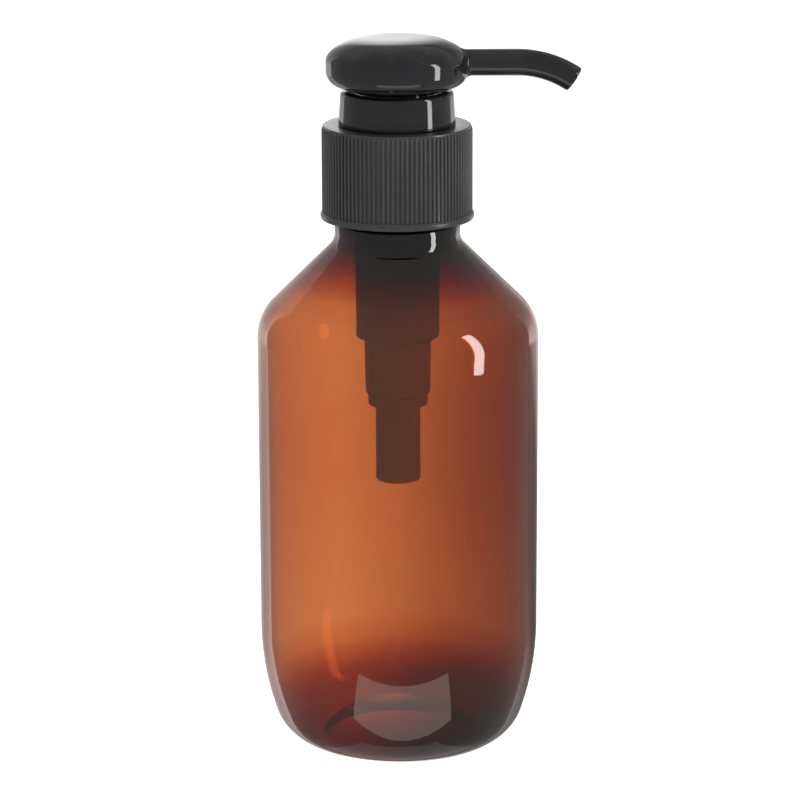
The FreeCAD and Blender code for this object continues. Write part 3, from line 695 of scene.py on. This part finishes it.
def gasket_foam():
    """Foamed gasket: open cells pressed nearly flat."""
    material, tree, shader, place, surface = new_material("gasket_foam")
    cells = tree.nodes.new("ShaderNodeTexVoronoi")
    cells.inputs["Scale"].default_value = 2600.0
    tree.links.new(place, cells.inputs["Vector"])
    open_cells = range_node(tree, cells.outputs["Distance"], 0.0, 0.7)
    base = blend_colour(tree, open_cells, (0.62, 0.61, 0.58), (0.82, 0.81, 0.78))
    tree.links.new(base, shader.inputs["Base Color"])
    bump(tree, shader, cells.outputs["Distance"], 0.0001)
    shader.inputs["Roughness"].default_value = 0.85
    return material


AMBER = (0.785, 0.565, 0.375)
AMBER_DYE = (0.757, 0.427, 0.1, 1.0)
# share of the way across the bottle or up to 140 mm, and how deep the tint, painted shade included, is there; all
# set one by one
# painted shade: deeper tint towards the +X side of the bottle
PAINTED_SHADE_ACROSS = [(0.0, 0.2), (0.3, 0.19), (0.5, 0.25), (0.7, 0.33), (0.85, 0.38), (1.0, 0.4)]
# deeper tint at the base and the neck: partly for a thicker wall there, partly painted shade under the closure
TINT_AND_PAINTED_SHADE_ALONG = [
    (0.0, 1.5), (0.04, 1.15), (0.07, 0.66), (0.1, 0.33), (0.14, 0.19), (0.2, 0.17), (0.36, 0.2), (0.5, 0.225),
    (0.66, 0.2), (0.72, 0.2), (0.755, 0.28), (0.785, 0.75), (0.815, 1.5), (0.85, 2.4), (1.0, 2.6),
]
DEEPEST = 2.6
TINT_DEPTH = 65.0

amber = amber_plastic()
head_black = moulded_plastic("head_black", (0.008, 0.008, 0.009), (0.03, 0.03, 0.032), 0.06, 0.2, 0.02, 0.35)
collar_black = moulded_plastic("collar_black", (0.008, 0.008, 0.009), (0.03, 0.03, 0.032), 0.07, 0.2, 0.02, 0.5)
closure_black = moulded_plastic(
    "closure_black", (0.027, 0.027, 0.028), (0.05, 0.05, 0.052), 0.29, 0.2, 0.5, 0.5, wear=(0.54, 0.66), dust=0.3
)
stem_black = moulded_plastic("stem_black", (0.01, 0.01, 0.011), (0.03, 0.03, 0.03), 0.16, 0.2, 0.05, 0.3)
natural = milky_plastic("natural_plastic", (0.92, 0.89, 0.84), 0.35, 0.4)
white_plastic = milky_plastic("white_plastic", (0.9, 0.88, 0.84), 0.5)
wire = spring_wire()
ball_steel = polished_ball()
foam = gasket_foam()


# ---------------------------------------------------------------- camera

LENS = 160.0
CAMERA_DISTANCE = 0.8007
CAMERA_PITCH = math.radians(14.42)
CAMERA_ROLL = math.radians(0.2)
AIM = Vector((0.00045, 0.0, 0.0792))

camera_data = bpy.data.cameras.new("camera")
camera_data.lens = LENS
camera_data.sensor_width = 36.0
camera = bpy.data.objects.new("camera", camera_data)
bpy.context.scene.collection.objects.link(camera)
ahead = Vector((0.0, math.cos(CAMERA_PITCH), -math.sin(CAMERA_PITCH)))
camera.location = AIM - ahead * CAMERA_DISTANCE
camera.rotation_mode = "QUATERNION"
camera.rotation_quaternion = Quaternion(ahead, CAMERA_ROLL) @ ahead.to_track_quat("-Z", "Y")
bpy.context.scene.camera = camera


# ---------------------------------------------------------------- bottle

def bottle_outline():
    """Both skins of the blown wall, from the middle of the base outside to the middle of the base inside."""
    foot_inner, foot_outer, punt = 17.0, 18.2, 8.0
    heel, blend_height = 10.5, 27.5
    shoulder_start, shoulder, slope = 94.16, 11.5, 0.985
    neck_radius, neck_fillet, neck_top, finish, mouth = 14.0, 4.2, 120.4, 12.65, 10.9
    reach = BOTTLE_RADIUS - foot_outer
    rise = blend_height - heel
    side = (reach ** 2 + rise ** 2 - heel ** 2) / (2 * (reach - heel))
    side_centre = (BOTTLE_RADIUS - side, blend_height)
    heel_centre = (foot_outer, heel)
    blend_angle = -math.degrees(math.atan2(rise, heel_centre[0] - side_centre[0]))
    cone_angle = math.degrees(math.atan2(1.0, slope))
    shoulder_centre = (BOTTLE_RADIUS - shoulder, shoulder_start)
    run = shoulder_centre[0] - neck_radius - neck_fillet
    step = (shoulder + neck_fillet) / math.sin(math.radians(cone_angle))
    neck_centre = (neck_radius + neck_fillet, shoulder_start + run * slope + step)
    punt_radius = (foot_inner ** 2 + punt ** 2) / (2 * punt)
    punt_centre = (0.0, punt - punt_radius)

    def skin(inset):
        wall = BOTTLE_RADIUS - inset
        straight = [(wall, blend_height + (shoulder_start - blend_height) * i / 12) for i in range(13)]
        cone_low = around(shoulder_centre, shoulder - inset, 0, cone_angle, 24)
        neck = around(neck_centre, neck_fillet + inset, cone_angle - 180, -180, 12)
        cone = [Vector(cone_low[-1]).lerp(Vector(neck[0]), i / 8) for i in range(9)]
        return joined(
            around(heel_centre, heel - inset, -90, blend_angle, 24),
            around(side_centre, side - inset, blend_angle, 0, 20),
            straight,
            cone_low,
            cone,
            neck,
        )

    def punt_run(radius, edge_radius):
        edge = math.degrees(math.acos(edge_radius / radius))
        return around(punt_centre, radius, 90, edge, 24)

    inner_punt = punt_radius + BOTTLE_WALL
    inner_edge = math.sqrt(inner_punt ** 2 - (BOTTLE_WALL - punt_centre[1]) ** 2)
    gate_low = punt - 0.55
    outer = joined(
        [(0.0, gate_low), (1.2, gate_low), (1.9, gate_low + 0.12), (2.2, gate_low + 0.42)],
        [p for p in punt_run(punt_radius, foot_inner) if p[0] > 2.6],
        skin(0.0),
        [(neck_radius, neck_top - 0.3), (neck_radius - 0.25, neck_top), (finish + 0.2, neck_top + 0.75)],
        [(finish, neck_top + 1.1), (finish, LIP_HEIGHT - 0.4), (finish - 0.12, LIP_HEIGHT - 0.12)],
        [(finish - 0.4, LIP_HEIGHT), (mouth + 0.25, LIP_HEIGHT), (mouth, LIP_HEIGHT - 0.25)],
    )
    throat = neck_radius - BOTTLE_WALL
    down = neck_centre[1]
    inner = joined(
        [(mouth, down + 4.6), (mouth + 0.2, down + 3.9), (throat - 0.2, down + 1.2), (throat, down + 0.6)],
        skin(BOTTLE_WALL)[::-1],
        punt_run(inner_punt, inner_edge)[::-1],
    )
    return joined(outer, inner)


bottle_shell = tidy(turned("bottle_shell", bottle_outline(), amber, sides=256), 40)
ridge = [
    (-0.15, -1.1), (0.05, -1.1), (0.95, -0.5), (1.05, -0.3), (1.05, 0.3), (0.95, 0.5), (0.05, 1.1), (-0.15, 1.1),
]
neck_thread = tidy(grown(
    "neck_thread",
    seed_mesh("neck_thread", [(r, -h, 0) for r, h in ridge], closed_edges(len(ridge))),
    WOUND, amber, Turns=1.5, Radius=12.65 * MM, Rise=1.5 * THREAD_LEAD * MM,
    Start_height=THREAD_START * MM, End_taper=0.05,
), 40)
bottle = as_one("amber_bottle", [bottle_shell, neck_thread])
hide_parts("bottle")
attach(bottle, "bottle")


# ---------------------------------------------------------------- closure

def closure_outline():
    root, flare, cavity = CLOSURE_ROOT, CLOSURE_FLARE, 14.4
    return eased([
        (11.9, 140.8, 0.15), (11.9, 142.1, 0.2), (CLOSURE_CREST - 0.35, 142.1, 0.3),
        (CLOSURE_CREST - 0.35, 141.6, 0.05), (root, 141.5), (root, 122.9), (CLOSURE_CREST, 122.8, 0.1),
        (flare, 122.3, 0.25), (flare, 121.2, 0.45), (cavity + 0.35, 121.2, 0.1), (cavity, 121.6, 0.1),
        (cavity, 140.8, 0.4),
    ])


closure_body = tidy(turned("closure_body", closure_outline(), closure_black, sides=200, closed=True), 30)


def grip_rib():
    """One upright grip rib: a low round bar with its ends run out into the wall."""
    width, stand = 0.68, CLOSURE_CREST - CLOSURE_ROOT
    across = [
        (-0.5, -0.35), (-0.46, 0.25), (-0.33, 0.72), (-0.14, 0.96),
        (0.14, 0.96), (0.33, 0.72), (0.46, 0.25), (0.5, -0.35),
    ]
    heights = [(122.82, 0.85), (123.1, 1.0), (140.9, 1.0), (141.4, 0.75), (141.65, 0.3)]
    points = []
    for height, share in heights:
        for side, out in across:
            points.append((CLOSURE_ROOT + stand * (out * share if out > 0 else out), side * width, height))
    faces = []
    count = len(across)
    for row in range(len(heights) - 1):
        for column in range(count - 1):
            a = row * count + column
            faces.append((a, a + 1, a + count + 1, a + count))
        faces.append((row * count + count - 1, row * count, (row + 1) * count, (row + 2) * count - 1))
    faces.append(tuple(range(count))[::-1])
    faces.append(tuple(len(points) - count + i for i in range(count)))
    return seed_mesh("grip_rib", points, [], faces)


def ribs_from(seed, name, count, turn, material):
    # the bar is already at its own distance from the axis, so the ring's points all lie on the axis
    return tidy(grown(name, seed, RING, material, Count=count, Radius=1e-6, Turn=turn), 40)


grip_ribs = ribs_from(grip_rib(), "grip_ribs", RIB_COUNT, 0.0, closure_black)
inner_ridge = [
    (0.15, -1.0), (-0.05, -1.0), (-1.3, -0.45), (-1.45, -0.3), (-1.45, 0.3), (-1.3, 0.45), (-0.05, 1.0), (0.15, 1.0),
]
closure_thread = tidy(grown(
    "closure_thread",
    seed_mesh("closure_thread", [(r, -h, 0) for r, h in inner_ridge], closed_edges(len(inner_ridge))),
    WOUND, closure_black, Turns=1.3, Radius=14.4 * MM, Rise=1.3 * THREAD_LEAD * MM,
    Start_height=(THREAD_START - 1.6 - 0.3 * THREAD_LEAD) * MM, Turn=-0.3 * 2 * math.pi, End_taper=0.05,
), 40)
closure = as_one("ribbed_closure", [closure_body, grip_ribs, closure_thread])
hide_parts("closure")
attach(closure, "closure")


# ---------------------------------------------------------------- locking collar

def collar_wall_outline():
    """The collar's outer wall, web, snap skirt and stem guide as one ring section."""
    return eased([
        (4.2, 122.6, 0.3), (5.6, 122.6, 0.3), (5.6, 142.4, 0.4), (11.05, 142.4, 0.1), (11.05, 140.7, 0.1),
        (11.75, 140.7, 0.2), (11.75, 142.2, 0.1), (13.0, 142.2, 0.25), (12.5, 149.6, 0.8), (9.6, 149.6, 0.25),
        (9.6, 146.9, 0.2), (11.3, 146.9, 0.2), (11.7, 143.8, 0.4), (4.2, 143.8, 0.35),
    ])


collar_shell = tidy(turned("collar_shell", collar_wall_outline(), collar_black, sides=192, closed=True), 35)


def mouth_blocks():
    """The two inward lips of the mouth between its notches."""
    made = []
    lip = 116.0
    for side in (90.0, 270.0):
        block = block_of_ring("mouth_lip", 8.35, 9.75, 146.95, 149.45, side, lip, collar_black, 40)
        made.append(tidy(block, 35))
    return made


collar = as_one("locking_collar_shell", [collar_shell] + mouth_blocks())
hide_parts("locking_collar")
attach(collar, "pump_body")


# ---------------------------------------------------------------- actuator head

def dome_height(radius):
    crown = HEAD_DOME * math.sqrt(max(0.0, 1 - (radius / HEAD_RADIUS) ** 2))
    dish = DISH_DEPTH * (1 - (radius / DISH_RADIUS) ** 2) ** 2 if radius < DISH_RADIUS else 0.0
    return HEAD_PARTING + crown - dish


def head_outline():
    dome = []
    steps = 64
    for index in range(steps + 1):
        radius = HEAD_RADIUS * math.sin(math.pi / 2 * index / steps)
        dome.append((radius, dome_height(radius)))
    dome[0] = (0.0, dome_height(0.0))
    corner = around((12.15, 154.2), 3.6, 0, -90, 20)
    cavity = eased([
        (12.15, 150.6), (11.9, 150.6, 0.15), (11.2, 158.0, 0.5), (5.6, 159.3, 0.5), (5.6, 146.0, 0.25),
        (4.15, 146.0, 0.2), (4.15, 153.05), (0.0, 153.05),
    ])[1:]
    return joined(dome, [(HEAD_RADIUS, 155.2)], corner, cavity[:-1], [(0.0, 153.05)])


head_shell = tidy(turned("head_shell", head_outline(), head_black, sides=224), 35)


def spout_frame(distance):
    """Centre, outward direction and upward direction of the spout at a distance along it, in millimetres."""
    if distance <= SPOUT_STRAIGHT:
        return Vector((distance, 0, SPOUT_HEIGHT)), Vector((1, 0, 0)), Vector((0, 0, 1))
    angle = (distance - SPOUT_STRAIGHT) / SPOUT_BEND
    up = Vector((math.sin(angle), 0, math.cos(angle)))
    centre = Vector((SPOUT_STRAIGHT, 0, SPOUT_HEIGHT - SPOUT_BEND)) + up * SPOUT_BEND
    return centre, Vector((math.cos(angle), 0, -math.sin(angle))), up


def spout_shell():
    """The spout as a tube with a wall, closed at its hidden end and open at its mouth."""
    length = SPOUT_STRAIGHT + SPOUT_BEND * math.radians(SPOUT_ANGLE)
    outer = [(12.6 + (length - 0.3 - 12.6) * i / 44, 3.0) for i in range(45)]
    mouth = [(length - 0.09, 2.91), (length, 2.7), (length, 1.95), (length - 0.06, 1.81), (length - 0.2, 1.75)]
    inner = [(length - 0.2 - (length - 14.0) * i / 30, 1.75) for i in range(1, 31)]
    rings = outer + mouth + inner
    sides = 72
    points = []
    for distance, radius in rings:
        centre, _, up = spout_frame(distance)
        for side in range(sides):
            angle = 2 * math.pi * side / sides
            across = Vector((0, math.cos(angle), 0)) + up * math.sin(angle)
            points.append(centre + across * radius)
    faces = []
    for ring in range(len(rings)):
        here = ring * sides
        following = (ring + 1) % len(rings) * sides
        for side in range(sides):
            other = (side + 1) % sides
            faces.append((here + side, here + other, following + other, following + side))
    return tidy(solid("spout", points, faces, head_black), 35)


def head_surface_reach(height):
    """How far from the axis the head's outside is at a height."""
    if height <= 154.2:
        return 12.15 + math.sqrt(max(0.0, 3.6 ** 2 - (154.2 - height) ** 2))
    if height <= HEAD_PARTING:
        return HEAD_RADIUS
    low, high = 0.0, HEAD_RADIUS
    for _ in range(40):
        middle = (low + high) / 2
        if dome_height(middle) > height:
            low = middle
        else:
            high = middle
    return low


def spout_root():
    """The small rounded root where the spout leaves the head."""
    sides, steps, size = 96, 8, 0.9
    points = []
    for side in range(sides):
        angle = 2 * math.pi * side / sides
        across = Vector((0, math.cos(angle), math.sin(angle)))

        def on_head(radius):
            y = across.y * radius
            z = SPOUT_HEIGHT + across.z * radius
            reach = head_surface_reach(z)
            return Vector((math.sqrt(max(0.0, reach ** 2 - y ** 2)), y, z))

        corner = on_head(3.0)
        far = on_head(3.0 + size)
        out = Vector((corner.x + size, 3.0 * across.y, SPOUT_HEIGHT + 3.0 * across.z))
        run = []
        for step in range(steps + 1):
            t = step / steps
            run.append(out * (1 - t) ** 2 + corner * 2 * t * (1 - t) + far * t ** 2)
        sunk = Vector((corner.x - 0.5, 2.5 * across.y, SPOUT_HEIGHT + 2.5 * across.z))
        run.append(sunk)
        points += run
    count = steps + 2
    faces = []
    for side in range(sides):
        here = side * count
        other = (side + 1) % sides * count
        for step in range(count):
            after = (step + 1) % count
            faces.append((here + step, here + after, other + after, other + step))
    return tidy(solid("spout_root", points, faces, head_black), 50)


lock_skirt = tidy(turned("lock_skirt", eased([
    (6.8, 144.9, 0.2), (8.0, 144.9, 0.2), (8.0, 158.9), (6.8, 158.9),
]), head_black, sides=128, closed=True), 35)
lugs = [
    tidy(block_of_ring("lock_lug", 7.6, 9.3, 144.95, 146.7, angle, 50.0, head_black, 20), 35)
    for angle in (0.0, 180.0)
]


def stiffening_rib():
    low, high = 152.0, 158.6
    points = []
    for x in (5.2, 11.6):
        for y in (-0.5, 0.5):
            for z in (low, high):
                points.append((x, y, z))
    faces = [(0, 1, 3, 2), (4, 6, 7, 5), (0, 4, 5, 1), (2, 3, 7, 6), (0, 2, 6, 4), (1, 5, 7, 3)]
    return seed_mesh("stiffening_rib", points, [], faces)


stiffeners = ribs_from(stiffening_rib(), "stiffening_ribs", 6, math.pi / 6, head_black)
head = as_one("pump_head", [head_shell, spout_shell(), spout_root(), lock_skirt, stiffeners] + lugs)
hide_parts("actuator_head")
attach(head, "head_group")


# ---------------------------------------------------------------- pump housing

def housing_outline():
    outside = [
        (4.0, 61.0, 0.15), (5.0, 61.0, 0.5), (5.0, 78.6, 0.3),
        (6.7, 78.6, 0.35), (6.7, 81.0, 0.2), (7.25, 81.5, 0.2),
        (7.5, 94.2, 0.35), (9.25, 94.2, 0.6), (9.6, 120.0, 0.0), (10.2, 139.4, 0.3), (13.4, 139.4, 0.2),
        (13.4, 140.7, 0.2), (11.0, 140.7, 0.1), (11.0, 142.3, 0.25), (10.0, 142.3, 0.2), (10.0, 140.7, 0.2),
    ]
    inside = [
        (9.2, 139.4, 0.2), (8.8, 123.0, 0.3), (7.9, 121.6, 0.3), (7.9, 95.4, 0.3),
        (6.35, 95.4, 0.15), (6.35, 83.0, 0.1), (5.6, 83.0, 0.1), (5.6, 79.7, 0.2),
        (2.65, 79.7, 0.1), (1.9, 78.95, 0.1), (1.9, 75.0, 0.15), (4.0, 75.0, 0.2),
    ]
    return eased(outside + inside)


housing = tidy(turned("housing_barrel", housing_outline(), natural, sides=144, closed=True), 35)
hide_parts("pump_housing")
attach(housing, "pump_body")


# ---------------------------------------------------------------- return spring

WIRE_RADIUS = 0.5
WIRE_SIDES = 14
wire_section = []
for side in range(WIRE_SIDES):
    angle = 2 * math.pi * side / WIRE_SIDES
    wire_section.append((WIRE_RADIUS * math.cos(angle), WIRE_RADIUS * math.sin(angle), 0))
spring = tidy(grown(
    "spring_coil", seed_mesh("spring_coil", wire_section, closed_edges(WIRE_SIDES)), WOUND, wire,
    Turns=8.0, Radius=4.9 * MM, Rise=12.45 * MM, Start_height=83.57 * MM, Steps_per_turn=40,
), 60)
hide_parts("return_spring")
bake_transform(spring)


# ---------------------------------------------------------------- pieces that keep their own solids

for node, material in {
    "gasket": foam, "stem": stem_black, "plunger": white_plastic, "piston": white_plastic,
    "ball_cage": white_plastic, "inlet_ball": ball_steel,
}.items():
    kept = nodes[node]
    kept.data.materials.clear()
    kept.data.materials.append(material)


# ---------------------------------------------------------------- floor, cards and lights

def glowing(name, strength, across=None, along=None, half=(1.0, 1.0)):
    """A glowing card's surface, shaded across and along it."""
    material = bpy.data.materials.new(name)
    material.use_nodes = True
    tree = material.node_tree
    tree.nodes.clear()
    glow = tree.nodes.new("ShaderNodeEmission")
    out = tree.nodes.new("ShaderNodeOutputMaterial")
    tree.links.new(glow.outputs["Emission"], out.inputs["Surface"])
    glow.inputs["Strength"].default_value = strength
    split = tree.nodes.new("ShaderNodeSeparateXYZ")
    tree.links.new(tree.nodes.new("ShaderNodeTexCoord").outputs["Object"], split.inputs["Vector"])
    shade = None
    for axis, reach, stops in (("X", half[0], across), ("Y", half[1], along)):
        if not stops:
            continue
        top = max(value for _, value in stops)
        ramp = tree.nodes.new("ShaderNodeValToRGB")
        set_ramp(ramp.color_ramp, [(place, value / top) for place, value in stops])
        tree.links.new(range_node(tree, split.outputs[axis], -reach, reach), ramp.inputs["Fac"])
        value = math_node(tree, "MULTIPLY", ramp.outputs["Color"], top)
        shade = value if shade is None else math_node(tree, "MULTIPLY", shade, value)
    if shade is not None:
        tree.links.new(math_node(tree, "MULTIPLY", shade, strength), glow.inputs["Strength"])
    return material


def only_in_reflections(thing):
    """Shows a card in gloss and through the clear wall, and nowhere else. It lights no dull surface."""
    thing.visible_camera = False
    thing.visible_diffuse = False
    thing.visible_shadow = False


def card(name, centre, towards, width, height, strength, across=None, along=None, up=(0, 0, 1)):
    """A glowing studio card facing a point, for the gloss and the clear plastic to pick up."""
    mesh = bpy.data.meshes.new(name)
    w, h = width / 2, height / 2
    mesh.from_pydata([(-w, -h, 0), (w, -h, 0), (w, h, 0), (-w, h, 0)], [], [(0, 1, 2, 3)])
    made = bpy.data.objects.new(name, mesh)
    bpy.context.scene.collection.objects.link(made)
    look = (Vector(towards) - Vector(centre)).normalized()
    side = Vector(up).cross(look).normalized()
    top = look.cross(side)
    turn = Matrix((side, top, look)).transposed().to_4x4()
    made.matrix_world = Matrix.Translation(centre) @ turn
    mesh.materials.append(glowing(name, strength, across, along, (w, h)))
    only_in_reflections(made)
    return made


def pale_floor():
    """The pale floor, lit from itself. It is left out of gloss and of the view through the clear wall."""
    size = 6.0
    mesh = bpy.data.meshes.new("pale_floor")
    mesh.from_pydata([(-size, -size, 0), (size, -size, 0), (size, size, 0), (-size, size, 0)], [], [(0, 1, 2, 3)])
    made = bpy.data.objects.new("pale_floor", mesh)
    bpy.context.scene.collection.objects.link(made)
    made.location.z = -0.0002
    material = bpy.data.materials.new("pale_floor")
    material.use_nodes = True
    tree = material.node_tree
    shader = tree.nodes["Principled BSDF"]
    shader.inputs["Base Color"].default_value = (0.8, 0.8, 0.8, 1)
    shader.inputs["Roughness"].default_value = 0.9
    shader.inputs["Specular IOR Level"].default_value = 0.0
    shader.inputs["Emission Color"].default_value = (1, 1, 1, 1)
    shader.inputs["Emission Strength"].default_value = 1.0
    mesh.materials.append(material)
    made.visible_glossy = False
    made.visible_transmission = False
    return made


pale_floor()
world = bpy.data.worlds.new("studio")
world.use_nodes = True
world.node_tree.nodes["Background"].inputs["Color"].default_value = (1, 1, 1, 1)
world.node_tree.nodes["Background"].inputs["Strength"].default_value = 0.42
bpy.context.scene.world = world

# Glowing cards whose shading is set one by one, so that the bottle looks right from the front.
# Straight behind, seen through the clear wall: brightest just left of the middle.
card("paper_card", (0, 1.2, -0.1), (0, 0, -0.1), 0.6, 2.4, 1.75, across=[
    (0.0, 0.42), (0.08, 0.6), (0.17, 0.86), (0.3, 0.96), (0.41, 1.0), (0.5, 0.87), (0.6, 0.67), (0.75, 0.42),
    (0.9, 0.24), (1.0, 0.17),
], along=[
    (0.0, 1.6), (0.3, 1.4), (0.36, 1.0), (0.62, 1.0), (0.72, 1.15), (0.86, 1.2), (0.93, 0.9), (1.0, 0.35),
])
# dimmer surroundings on both sides, which the walls pick up edge on
card("left_card", (-0.81, 1.2, -0.1), (-0.81, 0, -0.1), 1.02, 2.4, 1.0,
     across=[(0.0, 1.1), (0.14, 1.1), (0.28, 0.85), (0.6, 0.6), (1.0, 0.62)],
     along=[(0.0, 1.5), (0.25, 1.3), (0.36, 1.0), (0.42, 1.0), (0.47, 1.6),
            (0.54, 1.5), (0.6, 1.2), (0.75, 1.0), (1.0, 0.6)])
card("right_card", (0.775, 1.2, -0.1), (0.775, 0, -0.1), 0.95, 2.4, 0.16,
     across=[(0.0, 1.4), (0.3, 1.0), (0.7, 1.6), (1.0, 2.0)],
     along=[(0.0, 3.0), (0.25, 2.2), (0.36, 1.0), (0.42, 1.2), (0.47, 6.0),
            (0.54, 5.0), (0.6, 3.0), (0.75, 2.0), (1.0, 1.0)])
# plain soft light from below, under the heel and in front of it
card("table_card", (0, 0, -0.45), (0, 0, 0), 0.5, 0.5, 0.8, up=(0, 1, 0))
card("table_front", (0.02, -0.31, -0.24), (0, 0, 0.016), 0.56, 0.19, 1.5)
# plain upright soft box at the front right
card("window_light", (0.945, -0.378, 0.39), (0, 0, 0.39), 0.17, 1.08, 10.0)


def lamp(name, place, towards, size, energy):
    light = bpy.data.lights.new(name, "AREA")
    light.shape = "RECTANGLE"
    light.size, light.size_y = size
    light.energy = energy
    made = bpy.data.objects.new(name, light)
    bpy.context.scene.collection.objects.link(made)
    made.location = place
    made.rotation_mode = "QUATERNION"
    made.rotation_quaternion = (Vector(towards) - Vector(place)).to_track_quat("-Z", "Y")
    made.visible_glossy = False
    made.visible_transmission = False
    return made


lamp("key_light", (0.7, -0.9, 0.9), (0, 0, 0.09), (0.6, 0.6), 9.0)
bpy.context.scene.view_settings.view_transform = "Standard"
